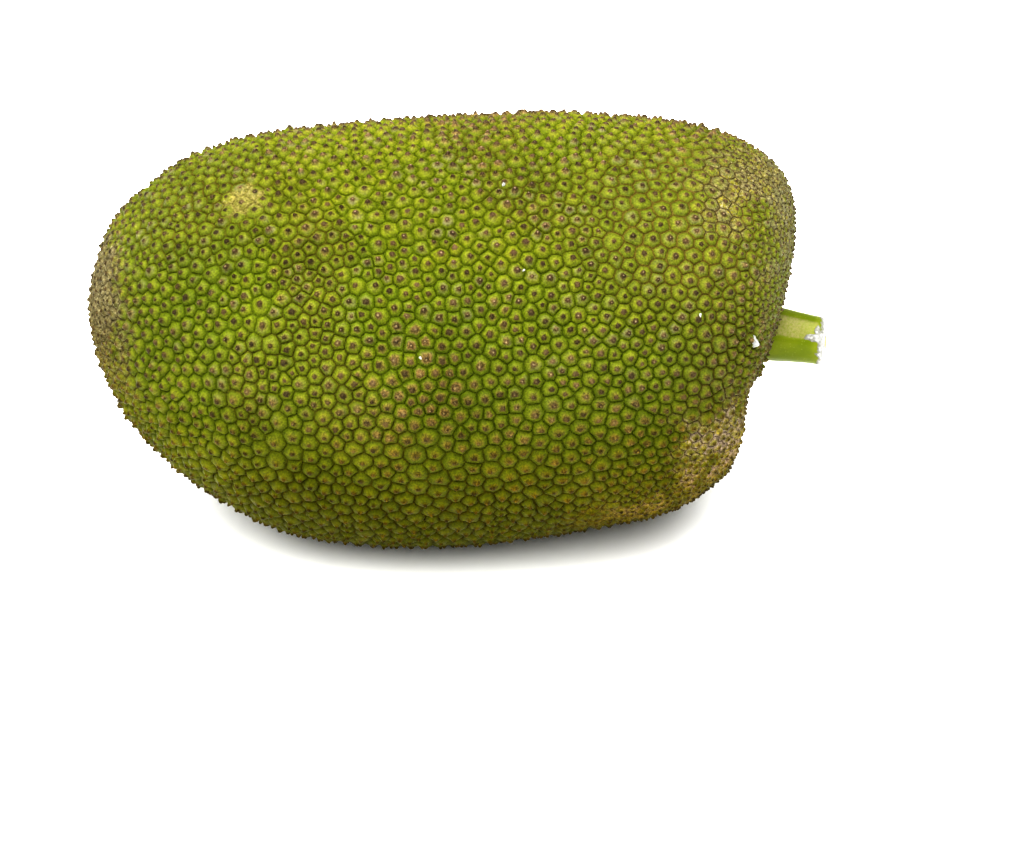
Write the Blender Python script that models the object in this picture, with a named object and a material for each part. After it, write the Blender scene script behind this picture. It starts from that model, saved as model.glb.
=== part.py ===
"""Whole jackfruit lying on its side, with a short cut stem.

Units are metres, +Z is up and +X runs along the fruit towards the stem. The fruit rests on a small flat spot at z = 0.

Two solids:
  fruit  the body, one piece as it grew: rounded narrower blossom end at -X, blunt oblique stem end at +X, with a shallow
         dimple and a socket where the stem grows out of it
  stem   the cut peduncle, seated in the socket
"""
import math

import bmesh
import bpy
from mathutils import Matrix, Vector

# ---------------------------------------------------------------- driving dimensions (metres, degrees)
MM = 0.001

# Sections of the fruit along its own axis, from the blossom end to the stem end. Each row is one near-round section:
# distance along the axis, rise of its centre over the axis line, radius, lean of its plane (degrees, top towards +X). All
# lengths are in millimetres. The first and last rows close the body.
SECTIONS = (
    (42.8, 12.0, 0.0, 1.0),
    (44.3, 11.3, 13.8, 1.0),
    (49.8, 10.3, 30.8, 0.8),
    (59.0, 9.0, 48.0, 0.5),
    (73.0, 5.6, 64.0, 0.3),
    (90.5, 4.0, 78.2, 0.4),
    (111.8, 1.2, 89.8, 0.5),
    (136.8, -2.4, 99.0, 0.6),
    (168.8, -4.4, 104.6, 0.7),
    (203.8, -4.2, 107.6, 0.8),
    (238.2, -2.6, 108.0, 1.0),
    (272.5, 0.2, 106.8, 1.5),
    (303.8, 1.3, 103.3, 2.3),
    (330.0, 2.3, 99.9, 3.3),
    (350.0, 3.2, 94.8, 4.7),
    (363.2, 4.0, 88.7, 6.4),
    (373.8, 4.4, 80.4, 8.4),
    (380.5, 4.4, 70.0, 10.9),
    (383.6, 3.5, 57.0, 14.2),
    (384.8, 1.4, 44.5, 17.4),
    (386.0, -1.7, 32.5, 17.6),
    (387.0, -4.6, 22.4, 16.6),
)
LIE_DEG = 27.0            # the fruit is rolled about its long axis by this much as it lies
DEPTH_RATIO = 0.975       # section width across the axis line over its height
LOBE_HEIGHT = 0.9 * MM    # gentle swellings over the bulbs inside
HIP_SWELL = 2.7 * MM      # swelling at the lower corner of the stem end
HIP_HOLLOW = 2.2 * MM     # shallow hollow between that corner and the stem
HIP_DENT = 3.4 * MM       # shallow dent above that corner, on the fruit's front
RINGS = 50                # sections in the finished body
AROUND = 60               # points around each section

FLAT_DEPTH = 3.4 * MM     # how much the fruit is pressed flat where it rests
FLAT_EASE = 2.2 * MM      # height over which the pressed spot eases into the round belly

STEM_RADIUS = 14.2 * MM   # at the fruit
STEM_END_RADIUS = 12.1 * MM
STEM_SHOWS = 26.0 * MM    # length outside the fruit
SOCKET_DEPTH = 8.0 * MM   # length inside the fruit
SEAT_GAP = 0.3 * MM       # all round the seated stem
DIMPLE_DEPTH = 2.6 * MM   # the dimple starts at the last section's radius
STEM_LEAN_DEG = 9.0       # how much the stem leans down from the axis line
STEM_TURN_DEG = 14.0      # and how much it turns to the fruit's front
STEM_AROUND = 36
CUT_EDGE = 1.3 * MM       # rounding of the cut rim


# ---------------------------------------------------------------- helpers
def clear_scene():
    for ob in list(bpy.data.objects):
        bpy.data.objects.remove(ob, do_unlink=True)
    for me in list(bpy.data.meshes):
        bpy.data.meshes.remove(me)


def make_material(name, colour, roughness):
    mat = bpy.data.materials.new(name)
    mat.use_nodes = True
    bsdf = mat.node_tree.nodes["Principled BSDF"]
    bsdf.inputs["Base Color"].default_value = (*colour, 1.0)
    bsdf.inputs["Roughness"].default_value = roughness
    mat.diffuse_color = (*colour, 1.0)
    return mat


def catmull(p0, p1, p2, p3, t0, t1, t2, t3, t):
    """Centripetal Catmull-Rom point between p1 and p2, for knots t0..t3."""
    a1 = [(t1 - t) / (t1 - t0) * a + (t - t0) / (t1 - t0) * b for a, b in zip(p0, p1)]
    a2 = [(t2 - t) / (t2 - t1) * a + (t - t1) / (t2 - t1) * b for a, b in zip(p1, p2)]
    a3 = [(t3 - t) / (t3 - t2) * a + (t - t2) / (t3 - t2) * b for a, b in zip(p2, p3)]
    b1 = [(t2 - t) / (t2 - t0) * a + (t - t0) / (t2 - t0) * b for a, b in zip(a1, a2)]
    b2 = [(t3 - t) / (t3 - t1) * a + (t - t1) / (t3 - t1) * b for a, b in zip(a2, a3)]
    return [(t2 - t) / (t2 - t1) * a + (t - t1) / (t2 - t1) * b for a, b in zip(b1, b2)]


def section_at(rows, s):
    """Smooth section (along, rise, radius, lean) at arc position s in 0..1 of the meridian through the rows."""
    # the meridian is mirrored across the axis at the closed end, so the body closes square to its axis
    first = rows[1]
    last = rows[-2]
    ghost0 = (first[0], first[1], -first[2], first[3])
    ghost1 = (2 * rows[-1][0] - last[0], 2 * rows[-1][1] - last[1], 2 * rows[-1][2] - last[2], 2 * rows[-1][3] - last[3])
    pts = [ghost0, *rows, ghost1]
    knots = [0.0]
    for a, b in zip(pts, pts[1:]):
        knots.append(knots[-1] + math.hypot(a[0] - b[0], a[2] - b[2]) ** 0.75)
    lo, hi = knots[1], knots[-2]
    t = lo + (hi - lo) * min(max(s, 0.0), 1.0)
    i = 1
    while i < len(knots) - 3 and t > knots[i + 1]:
        i += 1
    return catmull(pts[i - 1], pts[i], pts[i + 1], pts[i + 2], knots[i - 1], knots[i], knots[i + 1], knots[i + 2], t)


def smoothstep(a, b, x):
    t = min(max((x - a) / (b - a), 0.0), 1.0)
    return t * t * (3 - 2 * t)


# ---------------------------------------------------------------- fruit
ROWS = [(a * MM, r * MM, c * MM, d) for a, r, c, d in SECTIONS]
AXIS_SHIFT = 0.5 * (ROWS[0][0] + ROWS[-1][0])


def axis_to_world(p):
    """Point of the fruit's own frame (along, across, up over the axis) to the row's directions, before it is set down."""
    return Matrix.Rotation(math.radians(-LIE_DEG), 3, "X") @ Vector((p[0] - AXIS_SHIFT, p[1], p[2]))


def lobes(s, ang):
    """Low swellings of the flesh bulbs under the rind, none at the two ends."""
    fade = smoothstep(0.02, 0.25, s) * (1 - smoothstep(0.72, 0.95, s))
    w = (math.sin(3 * ang + 5.0 * s + 0.7) * 0.45
         + math.sin(5 * ang - 9.0 * s + 2.1) * 0.3
         + math.sin(2 * ang + 13.0 * s + 4.0) * 0.25)
    return LOBE_HEIGHT * fade * w


def hip(s, ang):
    """How far the lower corner of the stem end moves along the axis and outwards."""
    under = math.exp(-((ang - 3.3) / 0.70) ** 2)
    swell = HIP_SWELL * under * math.exp(-((s - 0.865) / 0.034) ** 2)
    hollow = HIP_HOLLOW * under * math.exp(-((s - 0.940) / 0.030) ** 2)
    dent = HIP_DENT * math.exp(-((ang - 4.08) / 0.25) ** 2 - ((s - 0.888) / 0.055) ** 2)
    return 0.5 * swell - hollow - dent, 0.8 * swell - 0.3 * dent


def body_point(s, ang):
    """Point of the round body. ang 0 is the top of the section, growing towards +across."""
    along, rise, radius, lean = section_at(ROWS, s)
    lean = math.radians(lean)
    r = max(radius, 0.0)
    if r > 0.005:
        forth, out = hip(s, ang)
        along += forth
        r += lobes(s, ang) + out
    up, side = r * math.cos(ang), r * math.sin(ang) * (1 - (1 - DEPTH_RATIO) * min(r / 0.06, 1.0))
    return axis_to_world((along + up * math.sin(lean), side, rise + up * math.cos(lean)))


END = ROWS[-1]
END_LEAN = math.radians(END[3])
END_CENTRE = axis_to_world((END[0], 0.0, END[1]))
END_AXIS = (axis_to_world((END[0] + math.cos(END_LEAN), 0.0, END[1] - math.sin(END_LEAN))) - END_CENTRE).normalized()
STEM_LEAN = math.radians(STEM_LEAN_DEG)
STEM_TURN = math.radians(STEM_TURN_DEG)
STEM_AXIS = (axis_to_world((END[0] + math.cos(STEM_LEAN) * math.cos(STEM_TURN), -math.sin(STEM_TURN),
                            END[1] - math.sin(STEM_LEAN) * math.cos(STEM_TURN))) - END_CENTRE).normalized()


def frame_about(axis):
    """Two unit vectors square to an axis: the first is the section's top direction."""
    top = axis_to_world((END[0], 0.0, END[1] + 1.0)) - END_CENTRE
    top = (top - axis * top.dot(axis)).normalized()
    return top, axis.cross(top).normalized() * -1.0


def ring(bm, centre, axis, radius, count):
    top, side = frame_about(axis)
    return [bm.verts.new(centre + top * radius * math.cos(2 * math.pi * k / count)
                         + side * radius * math.sin(2 * math.pi * k / count)) for k in range(count)]


def bridge(bm, a, b):
    n = len(a)
    for k in range(n):
        bm.faces.new((a[k], a[(k + 1) % n], b[(k + 1) % n], b[k]))


def settle_height():
    """Lowest height of the round body, found on a fine grid."""
    return min(body_point(i / 160, 2 * math.pi * j / 180).z for i in range(1, 161) for j in range(180))


def press(z, floor):
    """Height of a belly point after the fruit has sagged onto a flat floor."""
    t = (z - floor) / FLAT_EASE
    if t <= 0:
        return floor
    if t < 1:
        return floor + FLAT_EASE * (2 * t * t - t * t * t)
    return z


def build_fruit(floor):
    bm = bmesh.new()
    pole = bm.verts.new(body_point(0.0, 0.0))
    rings = []
    for i in range(1, RINGS + 1):
        s = i / RINGS
        rings.append([bm.verts.new(body_point(s, 2 * math.pi * k / AROUND)) for k in range(AROUND)])
    for k in range(AROUND):
        bm.faces.new((pole, rings[0][(k + 1) % AROUND], rings[0][k]))
    for a, b in zip(rings, rings[1:]):
        bridge(bm, a, b)
    # dimple round the stem, its lip, the socket wall and the socket floor
    hole = STEM_RADIUS + SEAT_GAP
    inner = rings[-1]
    for step in range(1, 6):
        t = step / 5
        radius = END[2] + (hole + 1.2 * MM - END[2]) * t
        drop = DIMPLE_DEPTH * (1 - math.cos(math.pi * min(t, 1.0))) / 2
        nxt = []
        for k in range(AROUND):
            edge = inner_dir(k)
            nxt.append(bm.verts.new(END_CENTRE + edge * radius - END_AXIS * drop))
        bridge(bm, inner, nxt)
        inner = nxt
    # the socket is bored along the stem, and its edge lies just under the floor of the dimple
    top, side = frame_about(STEM_AXIS)
    walls = [(top * math.cos(2 * math.pi * k / AROUND) + side * math.sin(2 * math.pi * k / AROUND)) * hole
             for k in range(AROUND)]
    for under in (0.8 * MM, None):
        nxt = []
        for wall in walls:
            if under is None:
                slide = -SOCKET_DEPTH
            else:
                slide = -(under + wall.dot(END_AXIS)) / STEM_AXIS.dot(END_AXIS)
            nxt.append(bm.verts.new(socket_mouth() + wall + STEM_AXIS * slide))
        bridge(bm, inner, nxt)
        inner = nxt
    hub = bm.verts.new(socket_mouth() - STEM_AXIS * SOCKET_DEPTH)
    for k in range(AROUND):
        bm.faces.new((inner[k], inner[(k + 1) % AROUND], hub))
    for v in bm.verts:
        v.co.z = press(v.co.z, floor)
    bmesh.ops.recalc_face_normals(bm, faces=bm.faces)
    return bm


def inner_dir(k):
    top, side = frame_about(END_AXIS)
    a = 2 * math.pi * k / AROUND
    return top * math.cos(a) + side * math.sin(a)


def socket_mouth():
    return END_CENTRE - END_AXIS * DIMPLE_DEPTH


# ---------------------------------------------------------------- stem
def build_stem():
    """Solid of revolution about the stem's axis: seated root, slight waist, rounded cut rim."""
    base = socket_mouth() - STEM_AXIS * (SOCKET_DEPTH - SEAT_GAP)
    total = SOCKET_DEPTH - SEAT_GAP + DIMPLE_DEPTH + STEM_SHOWS
    profile = [(0.6 * MM, STEM_RADIUS - 0.5 * MM), (1.2 * MM, STEM_RADIUS)]
    steps = 10
    for i in range(1, steps):
        t = i / steps
        waist = 0.2 * MM * math.sin(math.pi * t)
        profile.append((1.2 * MM + (total - CUT_EDGE - 1.2 * MM) * t,
                        STEM_RADIUS + (STEM_END_RADIUS - STEM_RADIUS) * t - waist))
    for i in range(5):
        a = math.pi / 2 * i / 4
        profile.append((total - CUT_EDGE + CUT_EDGE * math.sin(a), STEM_END_RADIUS - CUT_EDGE * (1 - math.cos(a))))
    bm = bmesh.new()
    root = bm.verts.new(base)
    rings = [ring(bm, base + STEM_AXIS * d, STEM_AXIS, r, STEM_AROUND) for d, r in [(0.0, STEM_RADIUS - 1.2 * MM), *profile]]
    for k in range(STEM_AROUND):
        bm.faces.new((root, rings[0][(k + 1) % STEM_AROUND], rings[0][k]))
    for a, b in zip(rings, rings[1:]):
        bridge(bm, a, b)
    tip = bm.verts.new(base + STEM_AXIS * total)
    for k in range(STEM_AROUND):
        bm.faces.new((rings[-1][k], rings[-1][(k + 1) % STEM_AROUND], tip))
    bmesh.ops.recalc_face_normals(bm, faces=bm.faces)
    return bm


def to_object(bm, name, material):
    me = bpy.data.meshes.new(name)
    bm.to_mesh(me)
    bm.free()
    me.polygons.foreach_set("use_smooth", [True] * len(me.polygons))
    me.materials.append(material)
    ob = bpy.data.objects.new(name, me)
    bpy.context.scene.collection.objects.link(ob)
    return ob


def main():
    clear_scene()
    floor = settle_height() + FLAT_DEPTH
    fruit = to_object(build_fruit(floor), "fruit", make_material("rind", (0.16, 0.22, 0.035), 0.6))
    stem = to_object(build_stem(), "stem", make_material("stem_skin", (0.36, 0.46, 0.06), 0.35))
    # set the pair down with the flat spot at z = 0 and the whole row centred over the origin
    corners = [v.co for ob in (fruit, stem) for v in ob.data.vertices]
    mid_x = 0.5 * (min(c.x for c in corners) + max(c.x for c in corners))
    mid_y = 0.5 * (min(c.y for c in corners) + max(c.y for c in corners))
    shift = Matrix.Translation((-mid_x, -mid_y, -floor))
    for ob in (fruit, stem):
        ob.data.transform(shift)
        ob.data.update()


main()
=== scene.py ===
import math

import bmesh
import bpy
import numpy as np
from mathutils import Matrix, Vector, geometry, kdtree, noise


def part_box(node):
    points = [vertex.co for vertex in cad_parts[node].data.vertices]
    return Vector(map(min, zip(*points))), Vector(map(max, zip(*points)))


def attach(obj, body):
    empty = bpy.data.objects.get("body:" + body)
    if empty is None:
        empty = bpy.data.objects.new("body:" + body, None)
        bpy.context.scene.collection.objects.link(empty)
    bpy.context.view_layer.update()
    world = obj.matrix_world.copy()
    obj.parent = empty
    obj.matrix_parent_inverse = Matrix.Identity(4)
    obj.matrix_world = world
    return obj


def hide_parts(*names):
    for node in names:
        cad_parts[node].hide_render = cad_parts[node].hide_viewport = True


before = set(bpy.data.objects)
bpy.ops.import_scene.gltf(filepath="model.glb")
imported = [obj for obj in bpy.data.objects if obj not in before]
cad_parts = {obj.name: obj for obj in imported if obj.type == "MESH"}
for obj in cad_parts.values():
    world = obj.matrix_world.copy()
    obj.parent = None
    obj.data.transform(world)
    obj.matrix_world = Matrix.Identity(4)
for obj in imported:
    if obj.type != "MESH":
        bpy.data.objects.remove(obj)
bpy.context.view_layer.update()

MM = 0.001
RNG = np.random.default_rng(41)

# =====================================================================================================================
# 1. the fruit's smooth envelope, the same rule as the CAD body, as a function of (s, angle)
# =====================================================================================================================
SECTIONS = (
    (42.8, 12.0, 0.0, 1.0), (44.3, 11.3, 13.8, 1.0), (49.8, 10.3, 30.8, 0.8), (59.0, 9.0, 48.0, 0.5),
    (73.0, 5.6, 64.0, 0.3), (90.5, 4.0, 78.2, 0.4), (111.8, 1.2, 89.8, 0.5), (136.8, -2.4, 99.0, 0.6),
    (168.8, -4.4, 104.6, 0.7), (203.8, -4.2, 107.6, 0.8), (238.2, -2.6, 108.0, 1.0), (272.5, 0.2, 106.8, 1.5),
    (303.8, 1.3, 103.3, 2.3), (330.0, 2.3, 99.9, 3.3), (350.0, 3.2, 94.8, 4.7), (363.2, 4.0, 88.7, 6.4),
    (373.8, 4.4, 80.4, 8.4), (380.5, 4.4, 70.0, 10.9), (383.6, 3.5, 57.0, 14.2), (384.8, 1.4, 44.5, 17.4),
    (386.0, -1.7, 32.5, 17.6), (387.0, -4.6, 22.4, 16.6),
)
LIE = math.radians(27.0)
DEPTH_RATIO = 0.975
LOBE_HEIGHT = 0.9 * MM
HIP_SWELL = 2.7 * MM
HIP_HOLLOW = 2.2 * MM
HIP_DENT = 3.4 * MM
FLAT_DEPTH = 3.4 * MM
FLAT_EASE = 2.2 * MM
STEM_RADIUS = 14.2 * MM
STEM_END_RADIUS = 12.1 * MM
STEM_SHOWS = 26.0 * MM
SOCKET_DEPTH = 8.0 * MM
SEAT_GAP = 0.3 * MM
DIMPLE_DEPTH = 2.6 * MM
STEM_LEAN = math.radians(9.0)
STEM_TURN = math.radians(14.0)


def catmull(p0, p1, p2, p3, t0, t1, t2, t3, t):
    a1 = [(t1 - t) / (t1 - t0) * a + (t - t0) / (t1 - t0) * b for a, b in zip(p0, p1)]
    a2 = [(t2 - t) / (t2 - t1) * a + (t - t1) / (t2 - t1) * b for a, b in zip(p1, p2)]
    a3 = [(t3 - t) / (t3 - t2) * a + (t - t2) / (t3 - t2) * b for a, b in zip(p2, p3)]
    b1 = [(t2 - t) / (t2 - t0) * a + (t - t0) / (t2 - t0) * b for a, b in zip(a1, a2)]
    b2 = [(t3 - t) / (t3 - t1) * a + (t - t1) / (t3 - t1) * b for a, b in zip(a2, a3)]
    return [(t2 - t) / (t2 - t1) * a + (t - t1) / (t2 - t1) * b for a, b in zip(b1, b2)]


ROWS = [(a * MM, r * MM, c * MM, d) for a, r, c, d in SECTIONS]
AXIS_SHIFT = 0.5 * (ROWS[0][0] + ROWS[-1][0])
END = ROWS[-1]
END_LEAN = math.radians(END[3])
HOLE = STEM_RADIUS + SEAT_GAP


def section_rows(count):
    first, last = ROWS[1], ROWS[-2]
    ghost0 = (first[0], first[1], -first[2], first[3])
    ghost1 = tuple(2 * a - b for a, b in zip(ROWS[-1], last))[:3] + (2 * ROWS[-1][3] - last[3],)
    pts = [ghost0, *ROWS, ghost1]
    knots = [0.0]
    for a, b in zip(pts, pts[1:]):
        knots.append(knots[-1] + math.hypot(a[0] - b[0], a[2] - b[2]) ** 0.75)
    lo, hi = knots[1], knots[-2]
    out = []
    i = 1
    for k in range(count + 1):
        t = lo + (hi - lo) * k / count
        while i < len(knots) - 3 and t > knots[i + 1]:
            i += 1
        out.append(catmull(pts[i - 1], pts[i], pts[i + 1], pts[i + 2],
                           knots[i - 1], knots[i], knots[i + 1], knots[i + 2], t))
    return np.array(out)


N_BODY, N_DIMPLE, S_DIMPLE = 1600, 60, 0.05
_body = section_rows(N_BODY)
_t = np.arange(1, N_DIMPLE + 1) / N_DIMPLE
_drop = DIMPLE_DEPTH * (1 - np.cos(np.pi * _t)) / 2
_dim = np.stack([END[0] - math.cos(END_LEAN) * _drop, END[1] + math.sin(END_LEAN) * _drop,
                 END[2] + (HOLE + 1.2 * MM - END[2]) * _t, np.full(N_DIMPLE, END[3])], 1)
T_S = np.concatenate([np.arange(N_BODY + 1) / N_BODY, 1 + S_DIMPLE * _t])
T_ROW = np.concatenate([_body, _dim])


def smooth(a, b, x):
    t = np.clip((x - a) / (b - a), 0, 1)
    return t * t * (3 - 2 * t)


def turn(p):
    """Fruit's own axes to the row's axes, for an (n, 3) array."""
    c, s = math.cos(LIE), math.sin(LIE)
    return np.stack([p[:, 0], p[:, 1] * c + p[:, 2] * s, -p[:, 1] * s + p[:, 2] * c], 1)


def round_body(s, ang):
    al, ri, ra, le = (np.interp(s, T_S, T_ROW[:, k]) for k in range(4))
    le = np.radians(le)
    fade = smooth(0.02, 0.25, s) * (1 - smooth(0.72, 0.95, s))
    w = (np.sin(3 * ang + 5 * s + 0.7) * 0.45 + np.sin(5 * ang - 9 * s + 2.1) * 0.3 + np.sin(2 * ang + 13 * s + 4) * 0.25)
    ang = np.mod(ang, 2 * np.pi)
    under = np.exp(-((ang - 3.3) / 0.70) ** 2)
    swell = HIP_SWELL * under * np.exp(-((s - 0.865) / 0.034) ** 2)
    hollow = HIP_HOLLOW * under * np.exp(-((s - 0.940) / 0.030) ** 2)
    dent = HIP_DENT * np.exp(-((ang - 4.08) / 0.25) ** 2 - ((s - 0.888) / 0.055) ** 2)
    al = al + np.where(ra > 0.005, 0.5 * swell - hollow - dent, 0)
    r = np.maximum(ra, 0) + np.where(ra > 0.005, LOBE_HEIGHT * fade * w + 0.8 * swell - 0.3 * dent, 0)
    up = r * np.cos(ang)
    side = r * np.sin(ang) * (1 - (1 - DEPTH_RATIO) * np.minimum(r / 0.06, 1))
    return turn(np.stack([al + up * np.sin(le) - AXIS_SHIFT, side, ri + up * np.cos(le)], 1))


_gs, _ga = np.meshgrid(np.arange(1, 161) / 160, 2 * np.pi * np.arange(180) / 180, indexing="ij")
FLOOR = round_body(_gs.ravel(), _ga.ravel())[:, 2].min() + FLAT_DEPTH
_gs, _ga = np.meshgrid(np.arange(0, 51) / 50, 2 * np.pi * np.arange(60) / 60, indexing="ij")
_own = round_body(_gs.ravel(), _ga.ravel())
_lo, _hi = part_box("fruit")
SHIFT = np.array([_lo.x - _own[:, 0].min(), 0.5 * (_lo.y + _hi.y) - 0.5 * (_own[:, 1].min() + _own[:, 1].max()), -FLOOR])


def body(s, ang):
    p = round_body(s, ang)
    t = (p[:, 2] - FLOOR) / FLAT_EASE
    z = np.where(t <= 0, FLOOR, np.where(t < 1, FLOOR + FLAT_EASE * (2 * t * t - t * t * t), p[:, 2]))
    return np.stack([p[:, 0], p[:, 1], z], 1) + SHIFT


# flat map of the body about its axis that keeps angles: rho grows from the blossom pole (0) to the stem (1)
_r = np.maximum(T_ROW[:, 2], 1e-9)
_ds = np.hypot(np.diff(T_ROW[:, 0]), np.diff(T_ROW[:, 2]))
_start = int(np.argmax(_r > 0.004))
_psi = np.zeros(len(_r))
for _k in range(_start + 1, len(_r)):
    _psi[_k] = _psi[_k - 1] + _ds[_k - 1] * 2 / (_r[_k] + _r[_k - 1])
T_RHO = np.exp(_psi - _psi[-1])
T_RHO[:_start] = T_RHO[_start] * _r[:_start] / _r[_start]
T_RHO[0] = 0
T_LAM = T_RHO / _r
T_LAM[: _start] = T_LAM[_start]
T_ARC = np.concatenate([[0], np.cumsum(_ds)])


def at(w):
    rho = np.hypot(w[:, 0], w[:, 1])
    return np.interp(rho, T_RHO, T_S), np.arctan2(w[:, 1], w[:, 0])


def point(w):
    return body(*at(w))


def jac(w):
    """Columns dP/dw of the map, and the outward unit normal."""
    rho = np.hypot(w[:, 0], w[:, 1])
    e = 4e-4 * np.interp(rho, T_RHO, T_LAM)
    ex, ey = np.stack([e, 0 * e], 1), np.stack([0 * e, e], 1)
    a = (point(w + ex) - point(w - ex)) / (2 * e[:, None])
    b = (point(w + ey) - point(w - ey)) / (2 * e[:, None])
    n = np.cross(a, b)
    return a, b, n / np.linalg.norm(n, axis=1, keepdims=True)


# =====================================================================================================================
# 2. where the rind differs from place to place
# =====================================================================================================================
def own_axes(p):
    """Row points back to (along from the middle, up across the fruit, towards the back) in the fruit's own axes."""
    q = p - SHIFT
    c, s = math.cos(LIE), math.sin(LIE)
    return np.stack([q[:, 0], q[:, 1] * s + q[:, 2] * c, q[:, 1] * c - q[:, 2] * s], 1)


STEM_OUT = turn(np.array([[math.cos(STEM_LEAN) * math.cos(STEM_TURN), -math.sin(STEM_TURN),
                           -math.sin(STEM_LEAN) * math.cos(STEM_TURN)]]))[0]
END_OUT = turn(np.array([[math.cos(END_LEAN), 0.0, -math.sin(END_LEAN)]]))[0]
END_MID = turn(np.array([[END[0] - AXIS_SHIFT, 0.0, END[1]]]))[0] + SHIFT
MOUTH = END_MID - END_OUT * DIMPLE_DEPTH


def noise3(p, size, seed):
    """Smooth noise in about -1..1 at points p, with lumps of the given size."""
    off = Vector((seed * 7.13, seed * 3.7, seed * 1.9))
    return np.array([noise.noise(Vector(q) / size + off) for q in p]) * 1.6


def spot(p, centre, radii, edge=0.35):
    """1 inside an oval patch centred at a point, fading out over its edge."""
    d = np.sqrt((((p - np.array(centre)) / np.array(radii)) ** 2).sum(1))
    return 1 - smooth(1 - edge, 1 + edge, d)


def near(along, up):
    """Point of the fruit's front side at a place along and up across it (metres from its middle)."""
    return np.array([along, up, -math.sqrt(max(0.108 ** 2 - up * up, 0.0))])


def pitch_at(p):
    q = own_axes(p)
    out = np.full(len(p), 7.15 * MM)
    out *= 1 - 0.22 * (1 - smooth(-0.178, -0.135, q[:, 0]))
    d = np.linalg.norm(p - MOUTH, axis=1)
    out *= 1 - 0.08 * (1 - smooth(0.020, 0.050, d))
    out *= 1 - 0.32 * smooth(0.130, 0.164, q[:, 0])
    out *= 1 - 0.20 * spot(q, (0.128, -0.082, -0.045), (0.036, 0.030, 0.060), 0.7)
    out *= 1 + 0.13 * spot(q, near(0.112, 0.064), (0.052, 0.036, 0.09), 0.5)
    out *= 1 + 0.21 * smooth(-0.022, -0.062, q[:, 1]) * smooth(-0.135, -0.085, q[:, 0]) * smooth(0.115, 0.070, q[:, 0])
    out *= 1 + 0.16 * spot(q, (0.03, 0.02, 0.10), (0.07, 0.07, 0.07), 0.5)
    out *= 1 + 0.05 * noise3(p, 0.06, 3)
    return out


def masks_at(p):
    """Cork, rust, brown-groove and pale-tip amounts at points of the rind."""
    q = own_axes(p)
    n1, n2, n3 = noise3(p, 0.030, 11), noise3(p, 0.011, 12), noise3(p, 0.055, 13)
    rough = (0.20 * n1 + 0.22 * n2)[:, None]
    cork = spot(q + rough * 0.035, (-0.180, 0.012, -0.020), (0.031, 0.047, 0.060), 0.55)
    cork = np.maximum(cork, 0.55 * spot(q + rough * 0.05, (-0.172, -0.010, -0.045), (0.026, 0.060, 0.040), 0.6))
    cork = np.maximum(cork, 0.60 * spot(q + rough * 0.05, (0.172, 0.070, -0.045), (0.036, 0.030, 0.054), 0.8))
    cork = np.maximum(cork, 0.52 * spot(q + rough * 0.05, (0.185, 0.020, -0.050), (0.018, 0.060, 0.060), 0.8))
    cork = np.maximum(cork, 0.55 * spot(q + rough * 0.06, (0.147, -0.060, -0.060), (0.027, 0.036, 0.046), 0.7))
    cork = np.maximum(cork, 0.50 * spot(q + rough * 0.05, (0.11, -0.100, -0.035), (0.06, 0.016, 0.03), 0.6))
    cork = np.maximum(cork, 0.8 * spot(q + rough * 0.06, (0.02, 0.02, 0.108), (0.030, 0.022, 0.03), 0.5))
    cork = np.maximum(cork, 0.7 * spot(q + rough * 0.06, (-0.10, -0.06, 0.075), (0.026, 0.020, 0.04), 0.5))
    cork = np.maximum(cork, 0.40 * smooth(0.45, 0.95, n3 + 0.4 * n2) * smooth(0.0, 0.04, q[:, 2]))
    cork = np.maximum(cork, 0.62 * spot(q + rough * 0.03, (-0.085, 0.060, -0.073), (0.0105, 0.0085, 0.03), 0.5))
    rust = 0.95 * spot(q + rough * 0.06, near(-0.004, -0.030), (0.036, 0.032, 0.06), 0.6)
    rust = np.maximum(rust, 0.60 * spot(q, near(0.08, -0.060), (0.080, 0.034, 0.06), 0.6))
    rust = np.maximum(rust, 0.6 * smooth(0.1, 0.7, n3 + 0.3 * n2))
    rust = np.maximum(rust, 0.25 * smooth(0.02, -0.09, q[:, 1]))
    brown = np.maximum(spot(q, near(0.130, 0.052), (0.062, 0.048, 0.09), 0.5), np.minimum(1.6 * cork, 1))
    brown = np.maximum(brown, 0.6 * smooth(0.15, 0.7, n3 - 0.2 * n1))
    brown = np.maximum(brown, 0.85 * smooth(0.105, 0.140, q[:, 0]))
    brown = np.maximum(brown, 0.8 * smooth(-0.040, -0.095, q[:, 1]))
    brown = np.maximum(brown, 0.8 * spot(q, near(-0.125, 0.070), (0.055, 0.040, 0.08), 0.6))
    pale = spot(q, near(-0.072, 0.080), (0.055, 0.020, 0.08), 0.5)
    pale = np.maximum(pale, 0.7 * rust)
    pale = np.maximum(pale, 0.85 * smooth(-0.020, -0.060, q[:, 1]))
    pale = np.maximum(pale, 0.7 * smooth(0.2, 0.8, noise3(p, 0.024, 15)))
    rust = np.maximum(rust, 0.38 * smooth(0.095, 0.130, q[:, 0]) * smooth(0.172, 0.155, q[:, 0]))
    return np.clip(np.stack([cork, rust, brown, pale], 1), 0, 1)


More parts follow.
